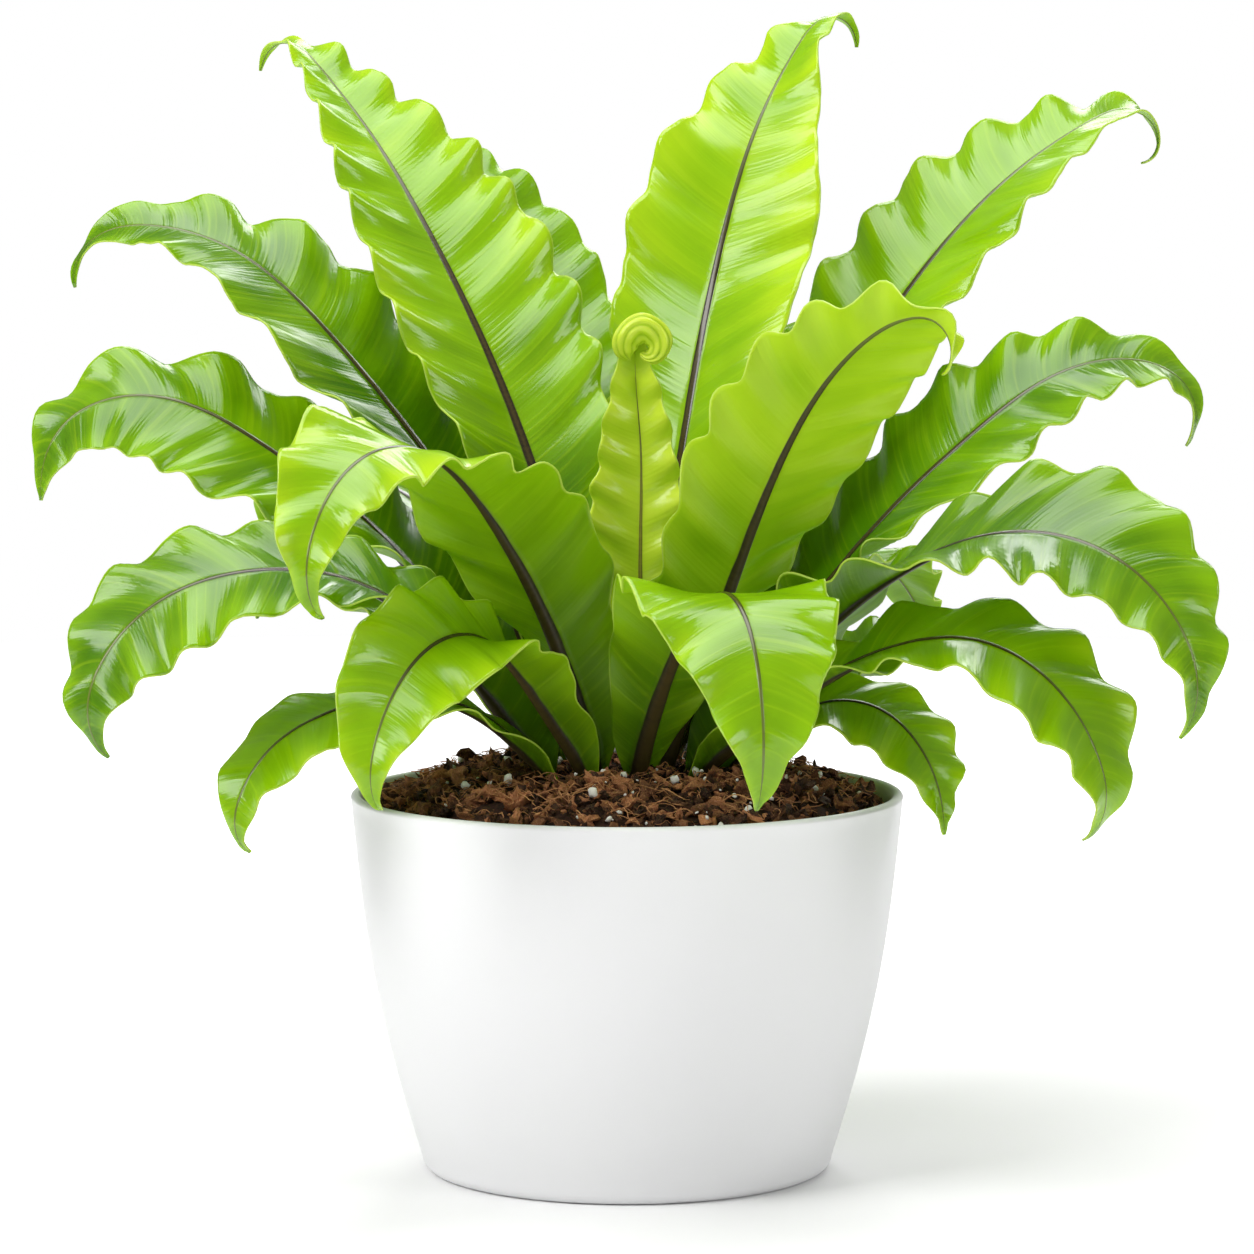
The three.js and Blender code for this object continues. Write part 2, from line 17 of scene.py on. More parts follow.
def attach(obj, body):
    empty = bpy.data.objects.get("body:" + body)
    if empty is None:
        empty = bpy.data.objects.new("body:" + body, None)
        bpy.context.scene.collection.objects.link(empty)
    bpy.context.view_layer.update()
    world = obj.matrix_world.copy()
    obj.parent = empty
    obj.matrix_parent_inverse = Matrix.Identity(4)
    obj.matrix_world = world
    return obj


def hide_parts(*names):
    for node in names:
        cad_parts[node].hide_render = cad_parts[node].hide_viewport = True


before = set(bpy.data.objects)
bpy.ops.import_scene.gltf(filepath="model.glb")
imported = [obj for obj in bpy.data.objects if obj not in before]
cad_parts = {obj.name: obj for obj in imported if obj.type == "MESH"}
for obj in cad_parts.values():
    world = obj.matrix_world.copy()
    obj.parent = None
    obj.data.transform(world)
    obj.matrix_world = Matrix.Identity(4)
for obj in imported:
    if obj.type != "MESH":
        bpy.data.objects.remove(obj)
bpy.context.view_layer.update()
MM = 0.001
SAME_PLACE = 1e-6  # points nearer than this are merged
print("nodes in the frame:", len(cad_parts))

# %% [markdown]
# ## Camera and light
#
# A picture like this one is taken from a little above the rim with a long lens, so that the pot's sides
# stay straight. The camera stands 1.67 m away and looks slightly down. The light comes from wide soft
# boxes, because their long reflections are what makes a glossy frond look glossy.

# %% Camera
LENS = 146.6  # mm
SENSOR = 36  # mm
CAMERA_PLACE = Vector((0, -1.670, 0.340))
LOOK_DOWN = math.radians(5.5)

camera = bpy.data.objects.new("camera", bpy.data.cameras.new("camera"))
camera.data.lens = LENS
camera.data.sensor_width = SENSOR
camera.location = CAMERA_PLACE
camera.rotation_euler = (math.radians(90) - LOOK_DOWN, 0, 0)
bpy.context.scene.collection.objects.link(camera)
bpy.context.scene.camera = camera
bpy.context.scene.view_settings.view_transform = "Standard"
print("camera at", tuple(camera.location), "with a lens of", LENS, "mm")

# %% Light
MIDDLE = Vector((0, 0, 0.22))


def soft_box(name, place, size, power):
    """A white rectangular lamp at place, turned towards the middle of the plant."""
    lamp = bpy.data.lights.new(name, "AREA")
    lamp.shape = "RECTANGLE"
    lamp.size, lamp.size_y = size
    lamp.energy = power
    holder = bpy.data.objects.new(name, lamp)
    holder.location = place
    holder.rotation_euler = (MIDDLE - Vector(place)).to_track_quat("-Z", "Y").to_euler()
    holder.visible_camera = False
    bpy.context.scene.collection.objects.link(holder)


soft_box("top_light", (-0.2, 0.15, 1.75), (1.5, 1.1), 25)
soft_box("key_light", (-1.4, -0.9, 1.35), (1.1, 1.1), 30)
soft_box("fill_light", (1.6, -1.1, 0.9), (0.7, 1.0), 12)
soft_box("rim_light", (0.5, 1.6, 1.3), (1.4, 0.8), 18)

# %% [markdown]
# ### The room
#
# The room round the object is a pale grey that only lights it softly. The background is plain white, so
# the world shows white to the camera and the grey to everything else.

# %% World
ROOM_LIGHT = 0.24

world = bpy.data.worlds.new("studio")
world.use_nodes = True
tree = world.node_tree
room = tree.nodes["Background"]
room.inputs["Color"].default_value = (1, 1, 1, 1)
room.inputs["Strength"].default_value = ROOM_LIGHT
backdrop = tree.nodes.new("ShaderNodeBackground")
backdrop.inputs["Color"].default_value = (1, 1, 1, 1)
backdrop.inputs["Strength"].default_value = 1.0
ray = tree.nodes.new("ShaderNodeLightPath")
either = tree.nodes.new("ShaderNodeMixShader")
tree.links.new(ray.outputs["Is Camera Ray"], either.inputs[0])
tree.links.new(room.outputs[0], either.inputs[1])
tree.links.new(backdrop.outputs[0], either.inputs[2])
tree.links.new(either.outputs[0], tree.nodes["World Output"].inputs["Surface"])
bpy.context.scene.world = world
print("room light:", ROOM_LIGHT)

# %% [markdown]
# ## Shader maths
#
# A finish is a small sum of patterns. Written with nodes it is hard to read, so `Shade` wraps a socket
# and lets Python's own operators add the Math nodes, and `Finish` adds any other node with one method.

# %% Shader helpers
class Shade:
    """A number that may change over the surface. Arithmetic on it adds Math nodes."""

    def __init__(self, finish, socket):
        self.finish = finish
        self.socket = socket

    def _math(self, operation, other, turned=False):
        values = [self.socket, other.socket if isinstance(other, Shade) else other]
        if turned:
            values.reverse()
        node = self.finish.node("ShaderNodeMath", {"operation": operation}, dict(enumerate(values)))
        return Shade(self.finish, node.outputs[0])

    def __add__(self, other):
        return self._math("ADD", other)

    def __mul__(self, other):
        return self._math("MULTIPLY", other)

    def __sub__(self, other):
        return self._math("SUBTRACT", other)

    def __rsub__(self, other):
        return self._math("SUBTRACT", other, turned=True)

    __radd__ = __add__
    __rmul__ = __mul__

    def step(self, low, high):
        """0 where the number is under low, 1 where it is over high, and smooth between."""
        settings = {"interpolation_type": "SMOOTHSTEP", "clamp": True}
        node = self.finish.node("ShaderNodeMapRange", settings, {0: self.socket, 1: low, 2: high})
        return Shade(self.finish, node.outputs[0])


# %% Finish helper
class Finish:
    """A material whose nodes are added one call at a time."""

    def __init__(self, name):
        self.material = bpy.data.materials.new(name)
        self.material.use_nodes = True
        self.tree = self.material.node_tree
        self.tree.nodes.clear()
        self.output = self.node("ShaderNodeOutputMaterial", {}, {})

    def node(self, kind, settings, values):
        """A node of that kind. Its settings come first, then the values or links of its sockets."""
        node = self.tree.nodes.new(kind)
        for name, value in settings.items():
            setattr(node, name, value)
        for key, value in values.items():
            socket = node.inputs[key]
            value = value.socket if isinstance(value, Shade) else value
            if isinstance(value, bpy.types.NodeSocket):
                self.tree.links.new(value, socket)
            elif socket.type == "RGBA" and len(value) == 3:
                socket.default_value = (*value, 1)
            else:
                socket.default_value = value
        return node

    def read(self, attribute):
        """The three numbers of an attribute of the mesh."""
        node = self.node("ShaderNodeAttribute", {"attribute_name": attribute}, {})
        parts = self.node("ShaderNodeSeparateXYZ", {}, {0: node.outputs["Vector"]})
        return [Shade(self, o) for o in parts.outputs]

    def place(self):
        """The point itself, in the object's own metres."""
        return self.node("ShaderNodeTexCoord", {}, {}).outputs["Object"]

    def grain(self, vector, scale, detail=2.0, roughness=0.5):
        """Soft noise from 0 to 1, at so many cells a metre."""
        values = {"Vector": vector, "Scale": scale, "Detail": detail, "Roughness": roughness}
        return Shade(self, self.node("ShaderNodeTexNoise", {}, values).outputs["Fac"])

    def streaks(self, across, lengthwise, seed):
        """Noise that is drawn out: across and lengthwise are already in cells."""
        vector = self.node("ShaderNodeCombineXYZ", {}, {0: across, 1: lengthwise, 2: seed}).outputs[0]
        return self.grain(vector, 1.0, 1.0)

    def mix(self, mask, first, second):
        """The first colour where mask is 0 and the second where it is 1."""
        node = self.node("ShaderNodeMix", {"data_type": "RGBA"}, {0: mask, 6: first, 7: second})
        return node.outputs[2]

    def bump(self, height, distance, strength):
        """A normal for a surface that rises by distance where height is 1."""
        values = {"Height": height, "Distance": distance, "Strength": strength}
        return self.node("ShaderNodeBump", {}, values).outputs["Normal"]

    def surface(self, shader):
        """The material, with shader as its whole surface."""
        self.tree.links.new(shader, self.output.inputs["Surface"])
        return self.material


def plain_finish(finish, **values):
    """A Principled shader with these sockets, as the whole surface."""
    return finish.surface(finish.node("ShaderNodeBsdfPrincipled", {}, values).outputs[0])


# %% [markdown]
# ## Pieces and the floor
#
# Every piece is made as a bmesh, shaped, and handed to `finished`, which makes the object, gives it its
# materials and ties it to the frame. The floor is the first one: a large pale disc that is only scenery.
# Away from the plant it glows faintly, so that it runs into the white background without an edge.

# %% Piece helper
def finished(name, bm, materials, slot=None, replaces=None, smooth=True):
    """The bmesh as an object that rides on the frame, or a bare one where it takes no slot."""
    mesh = bpy.data.meshes.new(name)
    bm.to_mesh(mesh)
    bm.free()
    for material in materials:
        mesh.materials.append(material)
    for face in mesh.polygons:
        face.use_smooth = smooth
    piece = bpy.data.objects.new(name, mesh)
    bpy.context.scene.collection.objects.link(piece)
    if slot:
        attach(piece, "root")
    if replaces:
        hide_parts(replaces)
    return piece


# %% Floor
FLOOR_RADIUS = 1.8
FLOOR_SIDES = 96
GLOW_FROM = 0.18  # m from the axis
GLOW_FULL = 0.8


def floor_finish():
    """Matt white, a little uneven, with a glow that grows with the distance from the axis."""
    paper = Finish("floor_white")
    place = paper.place()
    away = paper.node("ShaderNodeVectorMath", {"operation": "LENGTH"}, {0: place}).outputs["Value"]
    glow = Shade(paper, away).step(GLOW_FROM, GLOW_FULL)
    return plain_finish(paper, **{
        "Base Color": paper.mix(paper.grain(place, 3), (0.93, 0.93, 0.93), (0.91, 0.91, 0.91)),
        "Roughness": 0.6,
        "Emission Color": paper.mix(glow, (0, 0, 0), (0.35, 0.35, 0.35)),
        "Emission Strength": 1.0,
    })


floor_mesh = bmesh.new()
bmesh.ops.create_circle(floor_mesh, cap_ends=True, segments=FLOOR_SIDES, radius=FLOOR_RADIUS)
floor = finished("floor", floor_mesh, [floor_finish()])
print("floor:", 2 * FLOOR_RADIUS, "m across")

# %% [markdown]
# ## The pot
#
# A moulded pot is a round shape, so half of its section, turned about the axis, makes it. The section is
# a rule and not a list: the wall's slight swell is a formula, and the foot and the rim are arcs. The
# solid is made the same way but has few sides. Here the pot gets enough of them to look round in a close
# view.

# %% Pot section
POT_HEIGHT = 0.125
POT_RIM_RADIUS = 0.091
POT_FOOT_RADIUS = 0.0665
POT_SWELL = 0.0046
POT_WALL = 0.0035
POT_FLOOR = 0.005
POT_CORNER = 0.006  # the sloping corner between the floor and the wall, inside
FOOT_ROUND = 0.0045
FOOT_HOLLOW = 0.0004  # how far the middle of the base is raised
FOOT_RING = (0.011, 0.010)  # the small step up to that hollow, from the foot's edge inwards
WALL_STEPS = 24
POT_SIDES = 160


def pot_radius(height):
    """The outside radius of the wall at a height."""
    share = height / POT_HEIGHT
    cone = POT_FOOT_RADIUS + (POT_RIM_RADIUS - POT_FOOT_RADIUS) * share
    return cone + POT_SWELL * math.sin(math.pi * share) * (1 - 0.15 * share)


def arc(middle, radius, start, end, steps):
    """Points on an arc in the section, from one angle to another, in degrees."""
    turns = [math.radians(start + (end - start) * k / steps) for k in range(steps + 1)]
    return [(middle[0] + radius * math.cos(a), middle[1] + radius * math.sin(a)) for a in turns]


def pot_section():
    """From the axis under the base, round the foot, up the wall, over the rim and down inside."""
    rim_round = POT_WALL / 2
    top = POT_HEIGHT - rim_round
    bottom = FOOT_ROUND * 1.6
    heights = [bottom + (top - bottom) * k / WALL_STEPS for k in range(WALL_STEPS + 1)]
    foot_side = pot_radius(FOOT_ROUND) - FOOT_ROUND
    points = [(0, FOOT_HOLLOW)]
    points += [(POT_FOOT_RADIUS - FOOT_RING[0], FOOT_HOLLOW), (POT_FOOT_RADIUS - FOOT_RING[1], 0)]
    points += arc((foot_side, FOOT_ROUND), FOOT_ROUND, -90, -5, 7)
    points += [(pot_radius(z), z) for z in heights]
    points += arc((POT_RIM_RADIUS - rim_round, top), rim_round, 10, 170, 8)
    points += [(pot_radius(z) - POT_WALL, z) for z in reversed(heights) if z > POT_FLOOR + POT_CORNER]
    points += [(pot_radius(POT_FLOOR) - POT_WALL - POT_CORNER, POT_FLOOR), (0, POT_FLOOR)]
    return points


def spun(section, sides):
    """A section of (radius, height) points, turned about the axis, with its doubles merged."""
    bm = bmesh.new()
    corners = [bm.verts.new((r, 0, z)) for r, z in section]
    edges = [bm.edges.new(pair) for pair in zip(corners, corners[1:])]
    whole = corners + edges
    around = dict(axis=(0, 0, 1), cent=(0, 0, 0), angle=math.tau)
    bmesh.ops.spin(bm, geom=whole, steps=sides, use_merge=True, **around)
    bmesh.ops.remove_doubles(bm, verts=bm.verts, dist=SAME_PLACE)
    bmesh.ops.recalc_face_normals(bm, faces=bm.faces)
    return bm


# %% [markdown]
# ### The pot's finish
#
# The pot is white moulded plastic with a satin skin: hardly any colour, a soft sheen that varies a little
# from place to place, and a grain so fine that it only takes the hardness out of the reflections.

# %% Pot finish
def pot_finish():
    """Satin white."""
    satin = Finish("pot_white")
    place = satin.place()
    cloud = satin.grain(place, 14, 3)
    grain = satin.grain(place, 2600, 2)
    return plain_finish(satin, **{
        "Base Color": satin.mix(cloud, (0.77, 0.77, 0.775), (0.74, 0.74, 0.75)),
        "Roughness": 0.46 + cloud * 0.10,
        "Normal": satin.bump(grain, 0.00002, 0.35),
        "Specular IOR Level": 0.35,
    })


pot = finished("planter", spun(pot_section(), POT_SIDES), [pot_finish()], "pot", "pot")
print("pot faces:", len(pot.data.polygons))

# %% [markdown]
# ## The fronds
#
# A frond is a midrib with a thin blade on both sides, and the blade's margins are longer than its middle,
# so they ruffle. It could be sculpted, but for twenty-four of them a rule is better: the midrib is a
# smooth line whose rise and heading change along its length, and each margin swings in and out on a wave.
#
# The table gives only what differs from frond to frond, in millimetres and degrees. Values in a row are
# evenly spaced from the crown to the tip, and pairs are for the blade's two sides.
#
# - `foot` is where the stalk leaves the crown: its distance from the axis, and its bearing.
# - `length`, `rise` and `heading` are the midrib's, and `hook` is how much further the tip curls down.
# - `roll` turns the blade about its midrib, and `fold` closes its two sides like a book.
# - `half` is the greatest half width, and `broad` is where it lies, as a share of the length.
# - `waves` is how many ruffles a margin has, and `phase` is where the first one starts.
# - `swell` and `taper` say how soon some blades widen and narrow, and `spans` are listed half widths.
# - `ruffle` and `rib` make the waves and the midrib stronger or weaker.
# - `tone` is the colour, from an old dark frond at 0 to a young pale one at 1. The front right frond's high
#   tone is partly painted light that comes through its blade from behind.
#
# Most numbers are the solids' own. A few blades are turned or widened a little more here, and the young
# frond is straight, because its coil is a piece of its own.

# %% Frond table
FRONDS = {
    "top_left": dict(
        foot=(17, 132), length=332, rise=(80, 70, 59, 51, 45, 35, 34), heading=(129, 128, 128, 126),
        roll=(0, 12, 12, -5), hook=104, fold=(40, 17, 13), half=(33, 36), broad=(0.45, 0.5),
        waves=(13, 13.5), phase=(0.65, 0.7), tone=0.62,
    ),
    "top_right": dict(
        foot=(19, 66), length=302, rise=(76, 74, 71, 68, 62, 48, 45), heading=(70, 65, 56, 45),
        roll=(8, 24, -20, 15), hook=136, fold=(30, 10, 11), half=(33, 35), broad=(0.57, 0.52),
        waves=(9.5, 6), phase=(0.15, 0.55), swell=0.72, tone=0.78,
    ),
    "high_right": dict(
        foot=(22, 38), length=328, rise=(64, 60, 56, 50, 41, 28, 19), heading=(42, 39, 34, 22),
        roll=(0, -4, -12, -14), hook=192, fold=(36, 17, 8), half=(33, 32), broad=(0.66, 0.58),
        waves=(12.5, 11.5), phase=(0.1, 0.95), swell=0.45, tone=0.55,
    ),
    "behind_left": dict(
        foot=(24, 105), length=273, rise=(64, 59, 55, 51, 48, 45, 41), heading=(103, 106, 110, 115),
        roll=(0, 2, 5, 6), hook=60, fold=(36, 15, 6), half=(30, 30), broad=(0.6, 0.66),
        waves=(10, 11), phase=(0, 0.15), tone=0.35,
    ),
    "high_left": dict(
        foot=(22, 150), length=286, rise=(70, 66, 54, 48, 40, 9, -27), heading=(155, 155, 159, 166),
        roll=(0, 4, 8, 11, 14, 17, 20, 36, 60), hook=75, fold=(40, 10, 5), half=(32, 34), broad=(0.58, 0.62),
        waves=(8, 9), phase=(0, 0.35), taper=1.6, tone=0.26,
    ),
    # Its high tone is partly painted light that comes through the blade from behind.
    "front_right": dict(
        foot=(17, 312), length=225, rise=(62, 62, 63, 58, 45, 19, -40), heading=(312, 311, 312, 317),
        roll=(0, 18, 30, 44), hook=110, fold=(44, 12, 30), half=(30, 28), broad=(0.7, 0.5),
        waves=(10, 10), phase=(0.1, 0.2), tone=0.98,
    ),
    "left": dict(
        foot=(30, 174), length=244, rise=(65, 58, 48, 35, 27, -20, -100), heading=(168, 169, 174, 184),
        roll=(0, 8, 36, 46), hook=-10, fold=(55, 3, 0), half=(33, 29), broad=(0.6, 0.56),
        waves=(10.5, 8), phase=(0.35, 0.3), swell=0.85, taper=1, tone=0.3,
    ),
    "low_left": dict(
        foot=(29, 210), length=222, rise=(53, 52, 37, 9, -17, -55, -99), heading=(205, 200, 199, 203),
        roll=(0, 18, 30, 42), hook=41, fold=(52, 8, -5), half=(27, 25), broad=(0.7, 0.68),
        waves=(9, 9.5), phase=(0.2, 0.79), swell=0.65, tone=0.24,
    ),
    "front_left": dict(
        foot=(17, 238), length=233, rise=(70, 65, 54, 39, -5, -51, -95), heading=(218, 225, 233, 243),
        roll=(-5, -25, 18, 25), hook=68, fold=(38, 8, 8), half=(31, 32), broad=(0.48, 0.53),
        waves=(10.5, 8.5), phase=(0.05, 0.1), tone=0.7,
    ),
    "low_front_left": dict(
        foot=(28, 245), length=172, rise=(52, 48, 39, 4, -27, -56, -90), heading=(224, 234, 241, 244),
        roll=(3, 20, 40, 6), hook=70, fold=(42, 24, 12), half=(23, 21), broad=(0.6, 0.67),
        waves=(6.5, 9), phase=(0.85, 0.55), tone=0.6,
    ),
    "front": dict(
        foot=(22, 278), length=202, rise=(62, 50, 37, 12, -31, -75, -115), heading=(294, 289, 284, 281),
        roll=(5, 22, -10, 0), hook=30, fold=(18, 2, 5), half=(30, 30), broad=(0.6, 0.56),
        waves=(8.5, 7.5), phase=(0.25, 0.1), tone=0.5,
    ),
    "right_arch": dict(
        foot=(24, 335), length=249, rise=(52, 46, 37, 19, -13, -53, -95), heading=(337, 332, 328, 326),
        roll=(50, 40, 22, -2, -18, -27, -28, -27, -25), hook=36, fold=(20, 12, 8), half=(33, 36),
        broad=(0.59, 0.52), waves=(10.5, 11), phase=(0.2, 0.5), tone=0.28,
    ),
    "right": dict(
        foot=(27, 6), length=249, rise=(60, 55, 49, 41, 33, -7, -84), heading=(16, 17, 14, 5),
        roll=(0, -5, -27, -32), hook=42, fold=(36, 7, 9), half=(32, 30), broad=(0.48, 0.52),
        waves=(11, 11), phase=(0.2, 0.15), swell=0.62, taper=1.2, tone=0.26,
    ),
    "low_right": dict(
        foot=(28, 318), length=204, rise=(41, 35, 28, 9, -29, -63, -92), heading=(329, 330, 330, 331),
        roll=(-3, -21, -20, -3), hook=60, fold=(40, 9, 0), half=(23, 24), broad=(0.78, 0.72),
        waves=(8, 8.5), phase=(0.4, 0.75), tone=0.5,
    ),
    "small_right": dict(
        foot=(30, 346), length=115, rise=(46, 38, 26, -4, -40, -66, -91), heading=(340, 335, 330, 325),
        roll=(-4, -24, -25, -18), hook=-5, fold=(40, 0, 4), half=(16, 18), broad=(0.7, 0.6),
        waves=(7, 5.5), phase=(0.8, 0.2), rib=0.7, tone=0.66,
    ),
    "small_left": dict(
        foot=(34, 230), length=150, rise=(47, 41, 17, -10, -27, -60, -90), heading=(205, 198, 202, 212),
        roll=(6, 14, 18, 26), hook=62, fold=(24, -2, 3), half=(19, 18), broad=(0.65, 0.64),
        waves=(5.5, 4), phase=(0, 0.15), tone=0.56,
    ),
    "young": dict(
        foot=(5.5, 335), length=142, rise=(91, 91, 91, 90, 90, 89.5, 89, 91, 95, 93, 90),
        heading=(0, 0, 0, 0), roll=(-90, -90, -90, -90, -88, -86, -86, -88, -92), hook=0,
        fold=(34, 30, 22, 18, 16, 16, 18, 24, 34, 44), half=(17.2, 14.6), broad=(0.5, 0.5),
        spans=(3, 5.5, 8.5, 11.5, 14, 15.8, 16.2, 14.2, 11.6, 8.6, 4.5), waves=(11, 10.5), phase=(0.9, 0.4),
        ruffle=1.7, rib=0.6, tone=1,
    ),
    "back": dict(
        foot=(26, 80), length=245, rise=(54, 49, 40, 26, 6, -26, -66), heading=(80, 79, 80, 82),
        roll=(0, 0, -6, 5), hook=40, fold=(25, 10, 6), half=(30, 30), broad=(0.58, 0.58),
        waves=(9, 9.5), phase=(0.6, 0.1), tone=0.35,
    ),
    "back_left": dict(
        foot=(27, 130), length=240, rise=(58, 51, 40, 22, -4, -42, -80), heading=(130, 130, 128, 124),
        roll=(0, 6, 5, 0), hook=30, fold=(25, 10, 6), half=(29, 29), broad=(0.6, 0.58),
        waves=(9, 8.5), phase=(0.4, 0.8), tone=0.45,
    ),
    "back_right": dict(
        foot=(30, 57), length=215, rise=(47, 42, 32, 15, -9, -38, -68), heading=(58, 58, 57, 54),
        roll=(0, -6, -8, 0), hook=25, fold=(25, 10, 6), half=(27, 27), broad=(0.6, 0.6),
        waves=(8, 9), phase=(0.1, 0.55), tone=0.3,
    ),
    "back_middle": dict(
        foot=(31, 106), length=218, rise=(46, 40, 29, 11, -15, -48, -84), heading=(104, 105, 106, 104),
        roll=(0, 5, 8, 0), hook=35, fold=(25, 10, 6), half=(27, 27), broad=(0.58, 0.6),
        waves=(8.5, 8), phase=(0.75, 0.3), tone=0.5,
    ),
    "low_back_left": dict(
        foot=(33, 144), length=168, rise=(48, 43, 34, 22, 6, -12, -34), heading=(138, 137, 136, 134),
        roll=(0, 8, 6, 0), hook=35, fold=(25, 8, 5), half=(25, 25), broad=(0.62, 0.6),
        waves=(8, 7), phase=(0.2, 0.65), tone=0.25,
    ),
    "low_back_right": dict(
        foot=(32, 26), length=128, rise=(42, 36, 29, 21, 9, -8, -25), heading=(28, 31, 34, 37),
        roll=(0, -8, -8, 0), hook=35, fold=(25, 8, 5), half=(22, 22), broad=(0.62, 0.62),
        waves=(6.5, 7), phase=(0.5, 0.9), tone=0.25,
    ),
    "small_back": dict(
        foot=(34, 82), length=165, rise=(38, 29, 12, -12, -38, -64, -88), heading=(78, 80, 82, 84),
        roll=(0, 6, -5, 0), hook=30, fold=(22, 8, 5), half=(20, 20), broad=(0.62, 0.6),
        waves=(6, 6.5), phase=(0.85, 0.25), tone=0.3,
    ),
}
for frond in FRONDS.values():
    frond["foot"] = (frond["foot"][0] * MM, math.radians(frond["foot"][1]))
    frond["length"] *= MM
    frond["half"] = [h * MM for h in frond["half"]]
    frond["spans"] = [w * MM for w in frond.get("spans", ())]
print("fronds:", len(FRONDS))

# %% [markdown]
# ### The rule for one frond
#
# These few functions say where the blade is. They are the solids' own rule, with three things that the
# solids are too coarse for: the waves run out along the slanting side veins, narrow pleats lie between
# them, and the midrib stands proud of both faces, most of all underneath, where it carries the blade.
#
# The first functions give the midrib: its place on the crown, its direction at any share of the frond's
# length, and how wide it and the blade are there.

# %% Midrib and widths
CROWN_RADIUS = 0.037
CROWN_TOP = 0.134
CROWN_DROP = 0.006  # how much lower the crown is at its edge
HOOK_FROM = 0.86  # the share of the length where the tip begins to curl
STALK_HALF = 0.003  # half widths: of the stalk in the crown
BASE_HALF = 0.0075  # and of the blade's base
BASE_LENGTH = 0.014  # how soon the stalk opens into that base
TIP_HALF = 0.0018
TIP_FROM = 0.96  # the last narrowing, in shares of the length: where it begins
TIP_OVER = 0.04  # and how long it is
SWELL = 1.15  # the powers by which most blades widen from their base
TAPER = 1.35  # and narrow to their tip
SPANS_HALF = 0.016  # the greatest half width for which spans are given
RIB_LEAST = 0.0009  # a midrib's half width at the crown is at least this
RIB_MORE = 0.0029  # and so much more in a frond of the full length
RIB_FULL_LENGTH = 0.3
RIB_TAPER = 1.7
RIB_TIP = 0.0003  # what is left of it near the tip
RIB_END = 0.00005  # and at the very end


def along(values, share):
    """A smooth curve through evenly spaced values, read at a share from 0 to 1."""
    last = len(values) - 1
    x = min(max(share, 0), 1) * last
    i = min(int(x), last - 1)
    f = x - i
    p0, p1, p2, p3 = (values[min(max(i + k, 0), last)] for k in (-1, 0, 1, 2))
    return p1 + 0.5 * f * (p2 - p0 + f * (2 * p0 - 5 * p1 + 4 * p2 - p3 + f * (3 * (p1 - p2) + p3 - p0)))


def crown_height(radius):
    """The top of the crown's low dome, at a distance from the axis."""
    return CROWN_TOP - CROWN_DROP * (radius / CROWN_RADIUS) ** 2


def angles(frond, share):
    """The midrib's rise and heading at a share of its length."""
    curl = frond["hook"] * (max(0, share - HOOK_FROM) / (1 - HOOK_FROM)) ** 2
    return math.radians(along(frond["rise"], share) - curl), math.radians(along(frond["heading"], share))


def direction(rise, heading):
    """A step of length 1 that way."""
    level = math.cos(rise)
    return Vector((level * math.cos(heading), level * math.sin(heading), math.sin(rise)))


def opened(frond, share):
    """How far the stalk has opened into the blade: 0 at the crown and 1 from BASE_LENGTH on."""
    return min(1, max(0, share) * frond["length"] / BASE_LENGTH)


def half_width(frond, share, side):
    """The blade's width on one side of the midrib."""
    half, broad = frond["half"][side], frond["broad"][side]
    if frond["spans"]:
        return along(frond["spans"], share) * half / SPANS_HALF
    if share < broad:
        base = STALK_HALF + (BASE_HALF - STALK_HALF) * opened(frond, share) ** 0.7
        widened = math.sin(max(0, share) / broad * math.pi / 2) ** frond.get("swell", SWELL)
        return base + (half - BASE_HALF) * widened
    beyond = (share - broad) / (1 - broad)
    taper = frond.get("taper", TAPER)
    tip = TIP_HALF * (1 - 0.7 * max(0, (share - TIP_FROM) / TIP_OVER) ** 2)
    return max(tip, half * (1 - beyond) ** taper * (1 + taper * beyond))


def rib_half(frond, share):
    """Half the midrib's width: thicker in a longer frond, and tapering from root to tip."""
    thick = (RIB_LEAST + RIB_MORE * min(1, frond["length"] / RIB_FULL_LENGTH)) * frond.get("rib", 1)
    return thick * (1 - max(0, share)) ** RIB_TAPER + RIB_TIP * min(1, (1 - share) / 0.1) + RIB_END


# %% [markdown]
# Now the blade. A point of it is given by its row, its side and how far out it is, from 0 at the midrib
# to 1 at the margin. A side vein slants towards the tip, so the point belongs to a vein that left the
# midrib lower down. All relief is read at that place: ruffles as a sine whose pace and strength drift
# along the frond, crimps and puckers as noise, and the finest creases too. It all fades out at the stalk,
# at the tip and at the midrib.

# %% Blade point
WAVE_UP = 0.0038  # how far a ruffle swings at the margin, up and down
WAVE_OUT = 0.0016  # and in and out
WAVE_FULL_HALF = 0.028  # a narrower blade has weaker ruffles
WAVE_FROM = 0.06  # the share of the length where the relief begins
WAVE_RISE = 0.2  # the shares over which it grows in and fades out
WAVE_FALL = 0.13
PUCKER_UP = 0.0012  # how far the puckers and the creases rise
CREASE_UP = 0.00035


def blade_row(frond, share, point):
    """What a row's points share: the midrib's place, and the directions across and out of the blade."""
    rise, heading = angles(frond, share)
    level = Vector((-math.sin(heading), math.cos(heading), 0))
    steep = math.sin(rise)
    upright = Vector((-steep * math.cos(heading), -steep * math.sin(heading), math.cos(rise)))
    roll = math.radians(along(frond["roll"], share))
    face = upright * math.cos(roll) + level * math.sin(roll)
    across = level * math.cos(roll) - upright * math.sin(roll)
    fold = math.radians(along(frond["fold"], share)) * opened(frond, share)
    grown = min(1, max(0, (share - WAVE_FROM) / WAVE_RISE)) * min(1, (1 - share) / WAVE_FALL)
    return dict(share=share, point=point, face=face, across=across, fold=fold, grown=grown)


